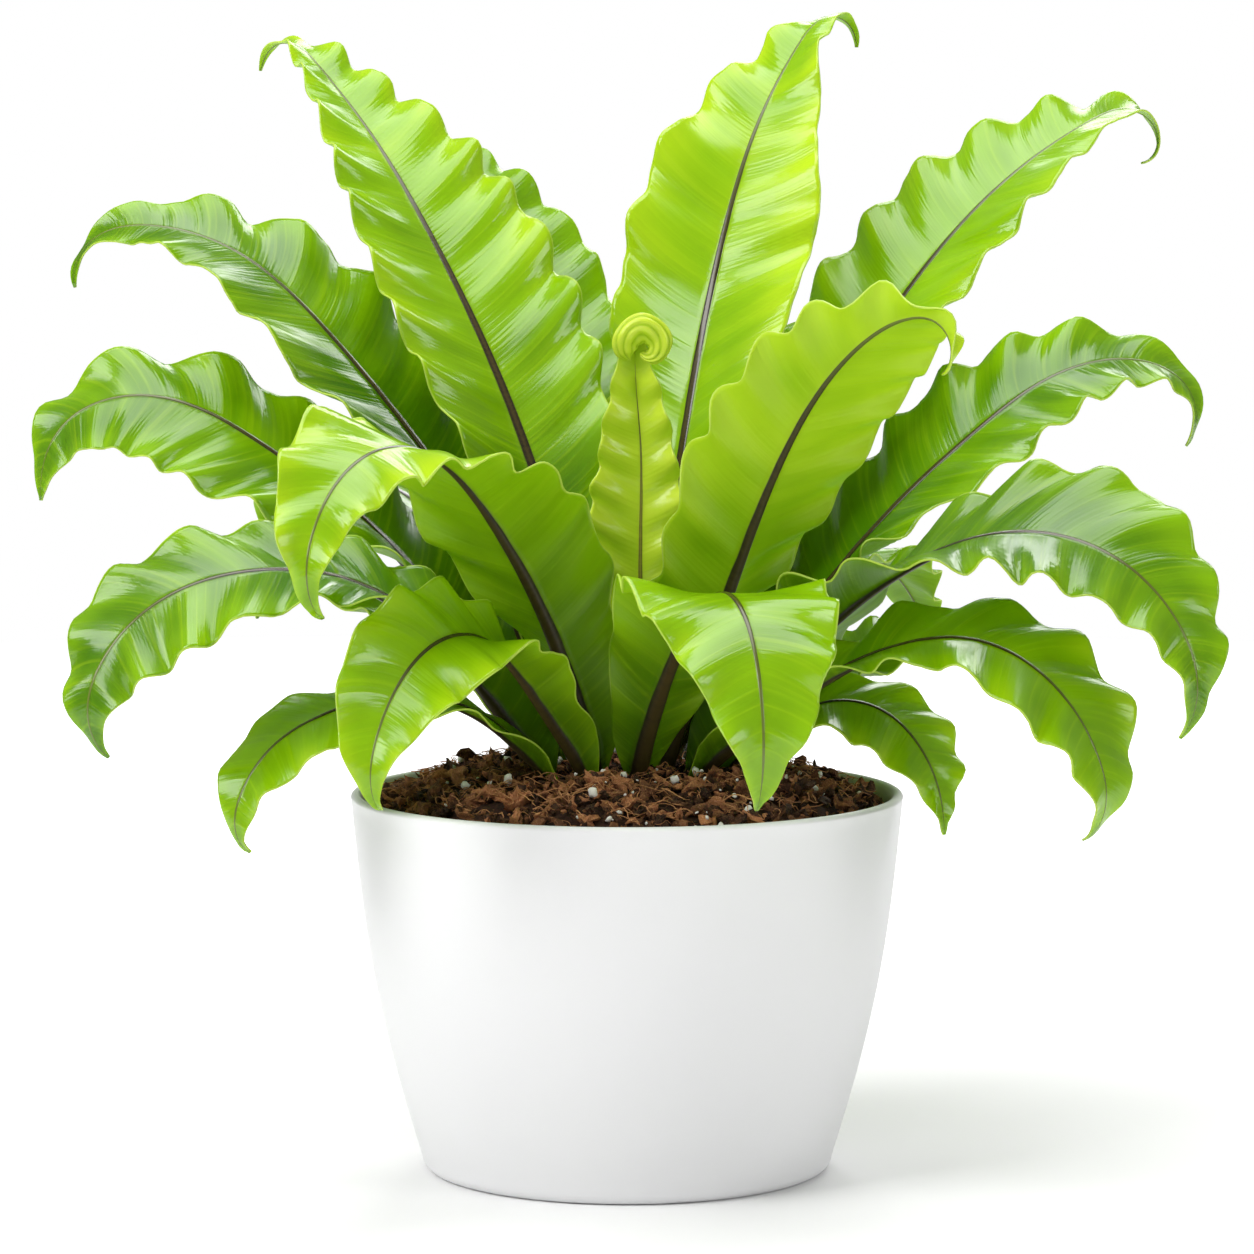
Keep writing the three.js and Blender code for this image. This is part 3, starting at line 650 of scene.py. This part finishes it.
def blade_point(frond, seed, row, side, part):
    """A point of the blade, with its distance from the midrib and where its side vein left the midrib."""
    share = row["share"]
    half = half_width(frond, share, side)
    way = 1 if side == 0 else -1
    lateral = way * half * part
    slant = half * (0.35 * part + 0.2 * part * part)
    vein = share * frond["length"] - slant
    turn = math.tau * (frond["waves"][side] * vein / frond["length"] + frond["phase"][side])
    turn += 0.9 * noise.noise((vein * 24, side * 7.3, seed))
    vigour = 0.75 + 0.6 * noise.noise((vein * 17, side * 3.1, seed + 20))
    size = row["grown"] * min(1, frond["half"][side] / WAVE_FULL_HALF) * frond.get("ruffle", 1)
    crimp = noise.noise((vein * 105, side * 6.7, seed + 60))
    pucker = noise.noise((vein * 115, lateral * 13, seed + 40))
    out = WAVE_OUT * size * (0.6 * vigour * math.sin(turn) + 0.7 * crimp)
    up = WAVE_UP * size * (vigour * math.sin(turn - 1) + 0.6 * crimp * part * part) * part ** 1.5
    crease = noise.noise((vein * 290, lateral * 30, seed + 80))
    up += (PUCKER_UP * pucker + CREASE_UP * crease) * row["grown"] * min(1, 2.5 * part) * min(1, half / 0.02)
    wide = (half + out * part) * part
    place = (
        row["point"]
        + row["across"] * (way * wide * math.cos(row["fold"]))
        + row["face"] * (wide * math.sin(row["fold"]) + up)
    )
    return place, way * wide, vein


# %% [markdown]
# ### One frond as a mesh
#
# A flat grid is bent onto the rule, then extruded once, which gives it a second face and the narrow wall
# round its margin. The columns crowd together at the midrib, where both faces are pushed apart to form
# it. Two attributes go with every point, for the finishes. One says where its side vein left the midrib,
# how far out it is, and the frond's tone. The other says how far out it is again, in midribs and as a
# share of the blade, and its share of the length.

# %% Rows and columns
ROOT_DEPTH = 0.009  # how far the stalk goes down into the crown
ROOT_ROWS = 4
ROW_STEP = 0.0017
ROW_GROUP = 8  # the number of rows is a multiple of this
SIDE_COLUMNS = 14
RIB_COLUMNS = (0, 0.5, 0.85, 1.0, 1.35)  # where the first columns are, in midrib half widths
RIB_MOST = 0.45  # the most of the blade that the midrib takes up
MARGIN_CROWDING = 0.08  # how much closer the columns are at the midrib and at the margin


def column_part(frond, share, side, column):
    """How far out a column lies, as a share of the half width."""
    half = half_width(frond, share, side)
    rib = min(RIB_MOST, rib_half(frond, share) / half)
    last = len(RIB_COLUMNS) - 1
    if column <= last:
        return RIB_COLUMNS[column] * rib
    t = (column - last) / (SIDE_COLUMNS - last)
    start = RIB_COLUMNS[last] * rib
    return start + (1 - start) * (t - MARGIN_CROWDING * math.sin(math.tau * t))


def blade_rows(frond):
    """The rows from the root, in the crown, to the tip."""
    count = round(frond["length"] / ROW_STEP / ROW_GROUP) * ROW_GROUP
    radius, bearing = frond["foot"]
    point = Vector((radius * math.cos(bearing), radius * math.sin(bearing), crown_height(radius)))
    start = direction(*angles(frond, 0))
    depths = [ROOT_DEPTH * k / ROOT_ROWS for k in range(ROOT_ROWS, 0, -1)]
    rows = [blade_row(frond, 0, point - start * depth) for depth in depths]
    for k in range(count + 1):
        rows.append(blade_row(frond, k / count, point.copy()))
        point += direction(*angles(frond, (k + 0.5) / count)) * (frond["length"] / count)
    return rows


# %% Frond mesh
BLADE_HALF_THICKNESS = 0.0003
RIB_OVER = 0.45  # how far the midrib stands proud, above and underneath, in its own half widths
RIB_UNDER = 0.85


def bent_grid(frond, seed):
    """The blade as one sheet on the rule, and how far the midrib's round section rises at each point."""
    rows = blade_rows(frond)
    bm = bmesh.new()
    veins = bm.verts.layers.float_vector.new("veins")
    place = bm.verts.layers.float_vector.new("place")
    number = bm.verts.layers.int.new("number")
    bmesh.ops.create_grid(bm, x_segments=len(rows) - 1, y_segments=2 * SIDE_COLUMNS, size=1)
    proud = []
    for vertex in bm.verts:
        row = rows[round((vertex.co.x + 1) / 2 * (len(rows) - 1))]
        column = round(vertex.co.y * SIDE_COLUMNS)
        side = 0 if column >= 0 else 1
        share = row["share"]
        part = column_part(frond, share, side, abs(column))
        vertex.co, lateral, vein = blade_point(frond, seed, row, side, part)
        rib = abs(lateral) / rib_half(frond, share)
        vertex[veins] = (vein, lateral, frond["tone"])
        vertex[place] = (rib, part, share)
        vertex[number] = len(proud)
        proud.append(math.sqrt(max(0, 1 - min(1, rib / 1.02) ** 2)) * rib_half(frond, share))
    return bm, number, proud


def frond_mesh(frond, seed):
    """The frond as a closed thin solid, with its faces sorted into upper, under and margin."""
    bm, number, proud = bent_grid(frond, seed)
    bm.normal_update()
    normals = [v.normal.copy() for v in bm.verts]
    under = set(bm.verts)
    grown = bmesh.ops.extrude_face_region(bm, geom=bm.faces[:], use_keep_orig=True)["geom"]
    upper_faces = {g for g in grown if isinstance(g, bmesh.types.BMFace)}
    for vertex in bm.verts:
        out = normals[vertex[number]]
        rib = proud[vertex[number]]
        if vertex in under:
            vertex.co -= out * (BLADE_HALF_THICKNESS + RIB_UNDER * rib)
        else:
            vertex.co += out * (BLADE_HALF_THICKNESS + RIB_OVER * rib)
    for face in bm.faces:
        if face in upper_faces:
            face.material_index = 0
        elif all(v in under for v in face.verts):
            face.material_index = 1
        else:
            face.material_index = 2
    bmesh.ops.recalc_face_normals(bm, faces=bm.faces)
    bm.verts.layers.int.remove(number)
    return bm


# %% [markdown]
# ### The young frond's coil
#
# A young fern frond opens from a coil, in which the blade is still folded round its midrib, so it looks
# like a fat pleated roll. A folded thin blade would show none of that: here the coil is a round roll on a
# spiral line instead, thickest at the top, with ridges along it for the pleats. It starts at the top of
# the straight blade, just in front of it, and winds inwards and a little nearer, to the eye in the
# middle.

# %% Coil mesh
COIL_EYE = Vector((0.0054, -0.0060, 0.2712))
COIL_TURNS = (232, 195, 150, 105, 60, 15, -30, -75, -125)  # degrees round the eye, from the blade inwards
COIL_RADII = (5.8, 5.9, 6.1, 6.3, 6.1, 5.5, 4.5, 3.2, 1.9)  # mm from the eye
COIL_HALVES = (1.0, 3.6, 4.6, 5.0, 4.8, 4.3, 3.5, 2.5, 0.8)  # mm, the roll's half thickness
COIL_NEARER = 0.0028  # how much nearer the front the roll is at its inner end
COIL_PLEATS = 9
COIL_STATIONS = 72
COIL_SIDES = 72


def coil_line(share):
    """The middle of the roll at a share of its length, and its half thickness."""
    turn = math.radians(along(COIL_TURNS, share))
    radius = along(COIL_RADII, share) * MM
    nearer = Vector((0, -COIL_NEARER * share, 0))
    middle = COIL_EYE + radius * Vector((math.cos(turn), 0, math.sin(turn))) + nearer
    return middle, along(COIL_HALVES, share) * MM


def coil_mesh():
    """A grid rolled up round the coil's line, with its two ends drawn in to points."""
    bm = bmesh.new()
    veins = bm.verts.layers.float_vector.new("veins")
    place = bm.verts.layers.float_vector.new("place")
    bmesh.ops.create_grid(bm, x_segments=COIL_STATIONS, y_segments=COIL_SIDES, size=1)
    for vertex in bm.verts:
        share = (vertex.co.x + 1) / 2
        turn = (vertex.co.y + 1) * math.pi
        middle, half = coil_line(share)
        outward = (middle - COIL_EYE).normalized()
        half *= min(1, 9 * share + 0.001) * math.sqrt(max(0, 1 - max(0, (share - 0.94) / 0.06) ** 2))
        wander = 1.1 * noise.noise((share * 4, math.cos(turn), math.sin(turn)))
        pleat = abs(math.sin((COIL_PLEATS * turn) / 2 + wander)) ** 0.7
        ruffle = 0.04 * math.sin(30 * share + 2 * math.cos(turn))
        reach = half * (0.84 + 0.20 * pleat + ruffle)
        vertex.co = middle + reach * (outward * math.cos(turn) + Vector((0, 1, 0)) * (0.95 * math.sin(turn)))
        # Tone and share out follow the pleats: painted shade in their valleys and painted light on their
        # ridges.
        vertex[veins] = (turn * 0.004, share * 0.04, 0.62 + 0.5 * pleat)
        vertex[place] = (2, 0.25 + 0.65 * pleat, 0.62 + 0.3 * share)
    bmesh.ops.remove_doubles(bm, verts=bm.verts, dist=SAME_PLACE)
    bmesh.ops.recalc_face_normals(bm, faces=bm.faces)
    return bm


# %% [markdown]
# ### The finish of a frond
#
# The upper face is glossy and bright apple green, yellower towards the margin, where light comes through.
# The under face is duller and yellower. Both show fine straight veins that slant out from the midrib, so
# the pattern is noise that is read along the veins and across them instead of in space. A thin blade also
# glows when it is lit from behind: a Translucent shader, mixed in everywhere but on the midrib, gives
# that.

# %% Frond finish
MARGIN_PALE = (0.62, 0.78, 0.12)
RIB_GREEN = (0.13, 0.17, 0.02)  # the midrib's colour near the tip


def frond_finish(name, greens, rib_crest_lit_and_edge, roughness, through, glow, gloss):
    """
    One face of the blade. The greens go from deep to pale, and the midrib's two colours from its middle,
    paler there as a painted highlight, to its edge. through is how much light comes through the blade, and
    glow is that light's colour.
    """
    deep, bright, pale = greens
    leaf = Finish(name)
    vein, lateral, tone = leaf.read("veins")
    rib, part, share = leaf.read("place")
    # Fine veins, broader bands along them, and clouds that spread over the whole blade.
    fine = leaf.streaks(vein * 760, lateral * 22, tone * 31)
    broad = leaf.streaks(vein * 110, lateral * 12, tone * 17)
    cloud = leaf.grain(leaf.place(), 22, 2)
    # A blade is paler towards its margin, its own colour and painted light that comes through the thin edge,
    # and a deeper green low down, its own colour and painted shade where the fronds crowd round the crown.
    outer_pale_and_lit = part.step(0.35, 1.0)
    low_deep_and_shaded = 1 - share.step(0.05, 0.6)
    paleness_lit_and_shaded = tone + (broad - 0.5) * 0.5 + (cloud - 0.5) * 0.6 + outer_pale_and_lit * 0.22 - low_deep_and_shaded * 0.46
    green = leaf.mix(paleness_lit_and_shaded.step(0.05, 0.72), deep, bright)
    green = leaf.mix(paleness_lit_and_shaded.step(0.62, 1.2), green, pale)
    green = leaf.mix(fine.step(0.5, 0.78) * 0.20, green, pale)
    edge = part.step(0.982, 0.998) * share.step(0.05, 0.2)
    green = leaf.mix(edge * 0.6, green, MARGIN_PALE)
    # The midrib is a little paler along its middle, a painted highlight on its crest, and turns green near
    # the tip.
    on_rib = 1 - rib.step(0.84, 1.06)
    rib_brown_and_highlight = leaf.mix(rib.step(0.1, 0.9) * 0.7 + (fine - 0.5) * 0.8, rib_crest_lit_and_edge[0], rib_crest_lit_and_edge[1])
    rib_colour = leaf.mix(share.step(0.55, 0.95), rib_brown_and_highlight, RIB_GREEN)
    colour = leaf.mix(on_rib, green, rib_colour)
    # The veins stand out a little in the gloss, and the skin has a fine grain.
    height = (fine + broad * 0.8) * (1 - on_rib * 0.9) + leaf.grain(leaf.place(), 1100, 2) * 0.12
    normal = leaf.bump(height, 0.00028, 0.6)
    skin = leaf.node("ShaderNodeBsdfPrincipled", {}, {
        "Base Color": colour,
        "Roughness": roughness + (cloud - 0.5) * 0.12 + on_rib * 0.05,
        "Normal": normal,
        "Specular IOR Level": gloss,
    })
    light = leaf.node("ShaderNodeBsdfTranslucent", {}, {"Color": glow, "Normal": normal})
    blend = (1 - on_rib) * through
    both = leaf.node("ShaderNodeMixShader", {}, {0: blend, 1: skin.outputs[0], 2: light.outputs[0]})
    return leaf.surface(both.outputs[0])


# %% Frond skins
# Each pair is a midrib's colour along its middle, paler there as a painted highlight, and at its edge.
RIB_BROWNS = ((0.050, 0.036, 0.007), (0.008, 0.005, 0.002))
RIB_OLIVES = ((0.24, 0.22, 0.02), (0.09, 0.075, 0.010))

leaf_upper = frond_finish(
    "frond_upper", greens=((0.042, 0.140, 0.0005), (0.25, 0.47, 0.001), (0.56, 0.76, 0.012)),
    rib_crest_lit_and_edge=RIB_BROWNS, roughness=0.18, through=0.26, glow=(0.55, 0.86, 0.001), gloss=0.53,
)
leaf_under = frond_finish(
    "frond_under", greens=((0.08, 0.19, 0.001), (0.29, 0.50, 0.003), (0.54, 0.72, 0.02)),
    rib_crest_lit_and_edge=RIB_BROWNS, roughness=0.40, through=0.34, glow=(0.56, 0.84, 0.003), gloss=0.4,
)
young_skin = frond_finish(
    "young_frond", greens=((0.16, 0.32, 0.002), (0.42, 0.62, 0.006), (0.72, 0.84, 0.06)),
    rib_crest_lit_and_edge=RIB_OLIVES, roughness=0.24, through=0.30, glow=(0.70, 0.90, 0.01), gloss=0.5,
)
leaf_margin = frond_finish(
    "frond_margin", greens=((0.24, 0.40, 0.01), (0.42, 0.60, 0.03), (0.60, 0.76, 0.10)),
    rib_crest_lit_and_edge=RIB_OLIVES, roughness=0.45, through=0.3, glow=(0.58, 0.80, 0.03), gloss=0.4,
)
print("frond finishes:", leaf_upper.name, leaf_under.name, young_skin.name, leaf_margin.name)

# %% Make the fronds
frond_pieces = []
for number, (name, frond) in enumerate(FRONDS.items()):
    young = name == "young"
    skins = [young_skin, young_skin, leaf_margin] if young else [leaf_upper, leaf_under, leaf_margin]
    seed = 3.7 * number + 1.3
    slot = "young_frond" if young else "frond"
    frond_pieces.append(finished("blade_" + name, frond_mesh(frond, seed), skins, slot, "frond_" + name))
coil = finished("young_coil", coil_mesh(), [young_skin], "young_frond")
print("frond faces:", sum(len(p.data.polygons) for p in frond_pieces), "coil faces:", len(coil.data.polygons))

# %% [markdown]
# ## The potting mix
#
# A fern's mix is coarse: shreds of bark and coir, curled fibres and white grains of perlite. One lumpy
# heap carries them. It is a disc, raised by a rule and extruded down once, so that it is closed. The
# shreds, fibres and grains are strewn over it with a seeded draw, a few dozen faces each.

# %% Heap
MIX_EDGE = 0.1175  # the mix's height at the pot's wall
MIX_TOP = 0.1315  # and round the crown
MIX_GAP = 0.0012
MIX_RADIUS = pot_radius(MIX_EDGE) - POT_WALL - MIX_GAP
MIX_FALL = 2.1  # the power by which the heap falls from the crown to the pot's wall
HEAP_RINGS = 40
HEAP_SIDES = 160
HEAP_SUNK = 0.0012  # how far the heap lies under the height at which things are strewn
HEAP_THICK = 0.012


def heap_height(radius):
    """The top of the mix, or of the crown where that is higher."""
    share = min(1, max(0, (radius - CROWN_RADIUS) / (MIX_RADIUS - CROWN_RADIUS)))
    heap = MIX_EDGE + (MIX_TOP - MIX_EDGE) * (1 - share ** MIX_FALL)
    return max(heap, crown_height(radius) if radius < CROWN_RADIUS else 0)


def lump(x, y):
    """How far the heap's lumps stand up at a place."""
    coarse = noise.noise((x * 70, y * 70, 3.1))
    fine = noise.noise((x * 210, y * 210, 8.4))
    return 0.0028 * coarse + 0.0014 * fine


def heap_mesh():
    """The lumpy heap, closed underneath."""
    bm = spun([(MIX_RADIUS * k / HEAP_RINGS, 0) for k in range(HEAP_RINGS + 1)], HEAP_SIDES)
    for vertex in bm.verts:
        radius = math.hypot(vertex.co.x, vertex.co.y)
        vertex.co.z = heap_height(radius) - HEAP_SUNK + lump(vertex.co.x, vertex.co.y)
    lower = bmesh.ops.extrude_face_region(bm, geom=bm.faces[:], use_keep_orig=True)["geom"]
    for vertex in {g for g in lower if isinstance(g, bmesh.types.BMVert)}:
        vertex.co.z -= HEAP_THICK
    bmesh.ops.recalc_face_normals(bm, faces=bm.faces)
    return bm


# %% Heap finish
def earth_finish(name, dark, light, rough, bump):
    """Crumbly brown, mottled by noise from dark to light."""
    earth = Finish(name)
    place = earth.place()
    coarse = earth.grain(place, 90, 4, 0.6)
    fine = earth.grain(place, 900, 4, 0.7)
    colour = earth.mix((coarse * 0.5 + fine * 0.6).step(0.35, 0.8), dark, light)
    return plain_finish(earth, **{
        "Base Color": colour,
        "Roughness": rough,
        "Normal": earth.bump(fine, bump, 0.8),
        "Specular IOR Level": 0.25,
    })


mix_brown = earth_finish("mix_brown", (0.014, 0.006, 0.0035), (0.075, 0.032, 0.017), 0.95, 0.0006)
heap = finished("mix_heap", heap_mesh(), [mix_brown], "potting_mix", "potting_mix")
print("heap faces:", len(heap.data.polygons))

# %% [markdown]
# ### Where things lie
#
# What is strewn lies evenly over the heap but not in the stalks. A place is drawn at random, with the
# square root of the draw as its distance from the axis, because a ring's area grows with its radius, and
# is drawn again where a stalk stands. Each kind has its own seed, so a change to one leaves the others as
# they are.

# %% Strewn places
def stalk_clear(x, y, room):
    """Whether a place on the heap is clear of every stalk."""
    for frond in FRONDS.values():
        radius, bearing = frond["foot"]
        if math.hypot(x - radius * math.cos(bearing), y - radius * math.sin(bearing)) < room:
            return False
    return True


def strewn(rng, count, reach, room):
    """Places on the heap, drawn evenly over its area and clear of the stalks."""
    places = []
    while len(places) < count:
        radius = reach * math.sqrt(rng.random())
        bearing = rng.uniform(0, math.tau)
        x, y = radius * math.cos(bearing), radius * math.sin(bearing)
        if stalk_clear(x, y, room):
            places.append(Vector((x, y, heap_height(radius) + lump(x, y))))
    return places


def lying(rng, tilt):
    """A turn about the upright axis, then a small tilt either way and a roll."""
    turn = Matrix.Rotation(rng.uniform(0, math.tau), 4, "Z") @ Matrix.Rotation(rng.gauss(0, tilt), 4, "Y")
    return turn @ Matrix.Rotation(rng.uniform(0, math.tau), 4, "X")


# %% [markdown]
# ### Shreds and grains
#
# Bark and coir are shredded, so a piece is long, flat and often bent, and perlite is popped glass in
# small round grains. Both start as a small ball that is stretched and whose points are moved by noise, so
# that no two are alike. All of one kind are one piece, because nobody picks them up one by one. A shred
# also keeps a tint of its own, whose first number the finish reads.

# %% One bit, and many
BALL_RINGS = 5
BALL_SIDES = 8


def lump_bit(place, turn, size, roughness, seed, bend=0.0, tint=None):
    """A small uneven lump at place, stretched to size and bent along its length, in a bmesh of its own."""
    bit = bmesh.new()
    layer = bit.verts.layers.float_vector.new("tint") if tint else None
    bmesh.ops.create_uvsphere(bit, u_segments=BALL_SIDES, v_segments=BALL_RINGS, radius=1)
    for vertex in bit.verts:
        uneven = 1 + roughness * noise.noise(vertex.co * 1.3 + Vector((seed, 0, 0)))
        local = Vector((vertex.co.z * size[0], vertex.co.x * size[1], vertex.co.y * size[2])) * uneven
        local.z += bend * local.x * local.x / size[0]
        vertex.co = place + turn @ local
        if tint:
            vertex[layer] = tint
    return bit


def poured(bits, tinted=False):
    """All the bits in one bmesh. Each goes over by way of a mesh, because from_mesh adds to what is there."""
    whole = bmesh.new()
    if tinted:
        whole.verts.layers.float_vector.new("tint")
    for bit in bits:
        scratch = bpy.data.meshes.new("scratch")
        bit.to_mesh(scratch)
        bit.free()
        whole.from_mesh(scratch)
        bpy.data.meshes.remove(scratch)
    return whole


# %% Shreds and grains
SHRED_COUNT = 2500
SHRED_CLEAR = (0.0035, 0.0045)  # how far shreds stay from the rim of the mix, and from a stalk's middle
SHRED_LENGTHS = (0.0010, 0.0014, 0.0020, 0.0027, 0.0038)  # half lengths
GRAIN_COUNT = 120
GRAIN_CLEAR = (0.004, 0.006)
GRAIN_SIZES = (0.0004, 0.0005, 0.0007, 0.0011, 0.0015)
GRAIN_UP = 0.0028  # how high a grain lies on the shreds


def crumbs_mesh(rng):
    """Shreds of bark and coir that lie every way on the heap."""
    bits = []
    for k, place in enumerate(strewn(rng, SHRED_COUNT, MIX_RADIUS - SHRED_CLEAR[0], SHRED_CLEAR[1])):
        long = rng.choice(SHRED_LENGTHS)
        shape = Vector((long, long * rng.uniform(0.3, 0.7), long * rng.uniform(0.2, 0.5)))
        height = Vector((0, 0, rng.uniform(-0.0012, 0.0026)))
        tint = (rng.random() ** 2.0, rng.random(), k * 0.37 % 1)
        turn = lying(rng, 0.45)
        bend = rng.uniform(-0.6, 0.6)
        bits.append(lump_bit(place + height, turn, shape, 1.0, k * 3.3, bend, tint))
    return poured(bits, tinted=True)


def grains_mesh(rng):
    """Perlite, in grains of several sizes, on top of the shreds."""
    bits = []
    for k, place in enumerate(strewn(rng, GRAIN_COUNT, MIX_RADIUS - GRAIN_CLEAR[0], GRAIN_CLEAR[1])):
        size = rng.choice(GRAIN_SIZES)
        shape = Vector((size * rng.uniform(0.9, 1.5), size, size * rng.uniform(0.7, 1)))
        height = Vector((0, 0, GRAIN_UP + size * 0.4))
        bits.append(lump_bit(place + height, lying(rng, 1.0), shape, 0.5, k * 2.1))
    return poured(bits)


# %% [markdown]
# ### Fibres
#
# Coir leaves thin curled fibres on top. A fibre is a three-sided thread: a narrow grid is laid along a
# curled line and rolled up round it, and its ends are pinched and filled.

# %% Fibres
FIBRE_COUNT = 620
FIBRE_CLEAR = (0.009, 0.005)  # from the rim of the mix, and from a stalk's middle
FIBRE_STEPS = 9
FIBRE_SIDES = 3
FIBRE_PINCH = 0.35  # how thick an end is, as a share of the rest


def fibre_line(rng, place):
    """Points along a curled line over the heap, lifted in the middle, and the fibre's half thickness."""
    length = rng.uniform(0.005, 0.017)
    thick = rng.uniform(0.00010, 0.00024)
    heading = rng.uniform(0, math.tau)
    bend = rng.uniform(-2.6, 2.6)
    lift = rng.uniform(0.0006, 0.0030)
    line = []
    point = place.copy()
    for k in range(FIBRE_STEPS + 1):
        t = k / FIBRE_STEPS
        line.append(point + Vector((0, 0, 0.0015 + lift * math.sin(math.pi * t) + 0.0006 * math.sin(7 * t))))
        turn = heading + bend * t + 0.5 * math.sin(9 * t + heading)
        point += Vector((math.cos(turn), math.sin(turn), 0)) * (length / FIBRE_STEPS)
    return line, thick


def fibre_bit(rng, place):
    """One fibre, in a bmesh of its own."""
    line, thick = fibre_line(rng, place)
    bit = bmesh.new()
    bmesh.ops.create_grid(bit, x_segments=FIBRE_STEPS, y_segments=FIBRE_SIDES, size=1)
    for vertex in bit.verts:
        k = round((vertex.co.x + 1) / 2 * FIBRE_STEPS)
        corner = round((vertex.co.y + 1) / 2 * FIBRE_SIDES) / FIBRE_SIDES * math.tau
        ahead = line[min(k + 1, FIBRE_STEPS)] - line[max(k - 1, 0)]
        side = ahead.cross(Vector((0, 0, 1))).normalized()
        up = side.cross(ahead).normalized()
        width = thick * (FIBRE_PINCH if k in (0, FIBRE_STEPS) else 1)
        vertex.co = line[k] + (side * math.cos(corner) + up * math.sin(corner)) * width
    bmesh.ops.remove_doubles(bit, verts=bit.verts, dist=SAME_PLACE)
    bmesh.ops.holes_fill(bit, edges=bit.edges, sides=FIBRE_SIDES)
    bmesh.ops.recalc_face_normals(bit, faces=bit.faces)
    return bit


def fibres_mesh(rng):
    """All the fibres."""
    places = strewn(rng, FIBRE_COUNT, MIX_RADIUS - FIBRE_CLEAR[0], FIBRE_CLEAR[1])
    return poured([fibre_bit(rng, place) for place in places])


# %% [markdown]
# ### Their finishes
#
# Damp bark is nearly black where it is smooth and fox red where it is torn, so a shred's brown is read
# from its tint. Fine grooves over it are pale, as painted highlights on its raised grain. Fibres are dry and
# paler, and perlite is a chalky white.

# %% Finishes of the shreds, fibres and grains
def bark_finish():
    """Each shred has its own brown, and all have fine grooves, with painted highlights on them."""
    bark = Finish("crumb_brown")
    shade = bark.read("tint")[0]
    place = bark.place()
    groove_and_highlight = bark.grain(place, 1700, 3, 0.75)
    coarse = bark.grain(place, 260, 2)
    brown = bark.mix((shade * 0.8 + coarse * 0.5).step(0.1, 1.0), (0.007, 0.003, 0.0015), (0.52, 0.21, 0.088))
    # Pale flecks on the grooves' ridges are painted highlights.
    brown = bark.mix(groove_and_highlight.step(0.5, 0.72) * (shade * 0.8 + 0.16), brown, (0.90, 0.48, 0.25))
    return plain_finish(bark, **{
        "Base Color": brown,
        "Roughness": 0.85,
        "Normal": bark.bump(groove_and_highlight, 0.0009, 1.0),
        "Specular IOR Level": 0.3,
    })


def perlite_finish():
    """Chalky white, a little mottled."""
    chalk = Finish("perlite_white")
    place = chalk.place()
    cloud = chalk.grain(place, 300, 3)
    pits = chalk.grain(place, 2500, 2)
    return plain_finish(chalk, **{
        "Base Color": chalk.mix(cloud, (0.72, 0.68, 0.62), (0.86, 0.84, 0.8)),
        "Roughness": 0.8,
        "Normal": chalk.bump(pits, 0.0002, 0.6),
    })


crumb_brown = bark_finish()
fibre_brown = earth_finish("fibre_brown", (0.24, 0.085, 0.03), (0.80, 0.40, 0.18), 0.7, 0.0001)
grain_white = perlite_finish()

# %% Strew them
crumbs = finished("mix_crumbs", crumbs_mesh(random.Random(11)), [crumb_brown], "potting_mix", smooth=False)
fibres = finished("mix_fibres", fibres_mesh(random.Random(12)), [fibre_brown], "potting_mix")
grains = finished("mix_grains", grains_mesh(random.Random(13)), [grain_white], "potting_mix")
for piece in (crumbs, fibres, grains):
    print(piece.name, len(piece.data.polygons))

# %% [markdown]
# ## The crown
#
# The fronds grow from a short thick stem that hardly shows: a low dome, dark and covered in narrow brown
# scales, on a body that narrows downwards in the mix. The dome and the body are one section, turned about
# the axis. The scales are flattened four-sided cones that lie outwards over each other, like shingles.

# %% Crown
CROWN_STEPS = 14
CROWN_SIDES = 72
CROWN_BODY = ((CROWN_RADIUS, 0.122), (0.032, 0.108), (0.022, 0.088), (0, 0.088))  # radius and height
CROWN_ROUGH = 0.0008


def crown_mesh():
    """The short stem, with a slightly uneven skin."""
    radii = [CROWN_RADIUS * k / CROWN_STEPS for k in range(CROWN_STEPS + 1)]
    dome = [(radius, crown_height(radius)) for radius in radii]
    bm = spun(dome + list(CROWN_BODY), CROWN_SIDES)
    for vertex in bm.verts:
        vertex.co.z += CROWN_ROUGH * noise.noise(vertex.co * 260)
    return bm


# %% Crown scales
SCALE_COUNT = 380
SCALE_REACH = CROWN_RADIUS + 0.002
SCALE_ROOM = 0.0045  # how far scales stay from a stalk's middle
SCALE_TIP = 0.0001
SCALE_FLAT = 0.25  # a scale's thickness, as a share of its width


def scales_mesh(rng):
    """Scales on the crown and just round it, each pointing outwards and a little up."""
    bits = []
    for place in strewn(rng, SCALE_COUNT, SCALE_REACH, SCALE_ROOM):
        outward = math.atan2(place.y, place.x) + rng.gauss(0, 0.5)
        length = rng.uniform(0.004, 0.008)
        width = rng.uniform(0.0006, 0.0011)
        tilt = rng.uniform(0.05, 0.7)
        turn = Matrix.Rotation(outward, 4, "Z") @ Matrix.Rotation(-tilt, 4, "Y")
        bit = bmesh.new()
        bmesh.ops.create_cone(bit, segments=4, radius1=width, radius2=SCALE_TIP, depth=length, cap_ends=True)
        for vertex in bit.verts:
            flat = Vector((vertex.co.z + length / 2, vertex.co.x, vertex.co.y * SCALE_FLAT))
            vertex.co = place + turn @ flat
        bits.append(bit)
    return poured(bits)


scale_brown = earth_finish("scale_brown", (0.012, 0.006, 0.004), (0.05, 0.026, 0.014), 0.8, 0.0002)
crown = finished("crown_dome", crown_mesh(), [scale_brown], "crown", "crown")
scales = finished("crown_scales", scales_mesh(random.Random(14)), [scale_brown], "crown")
print("crown faces:", len(crown.data.polygons), "scale faces:", len(scales.data.polygons))
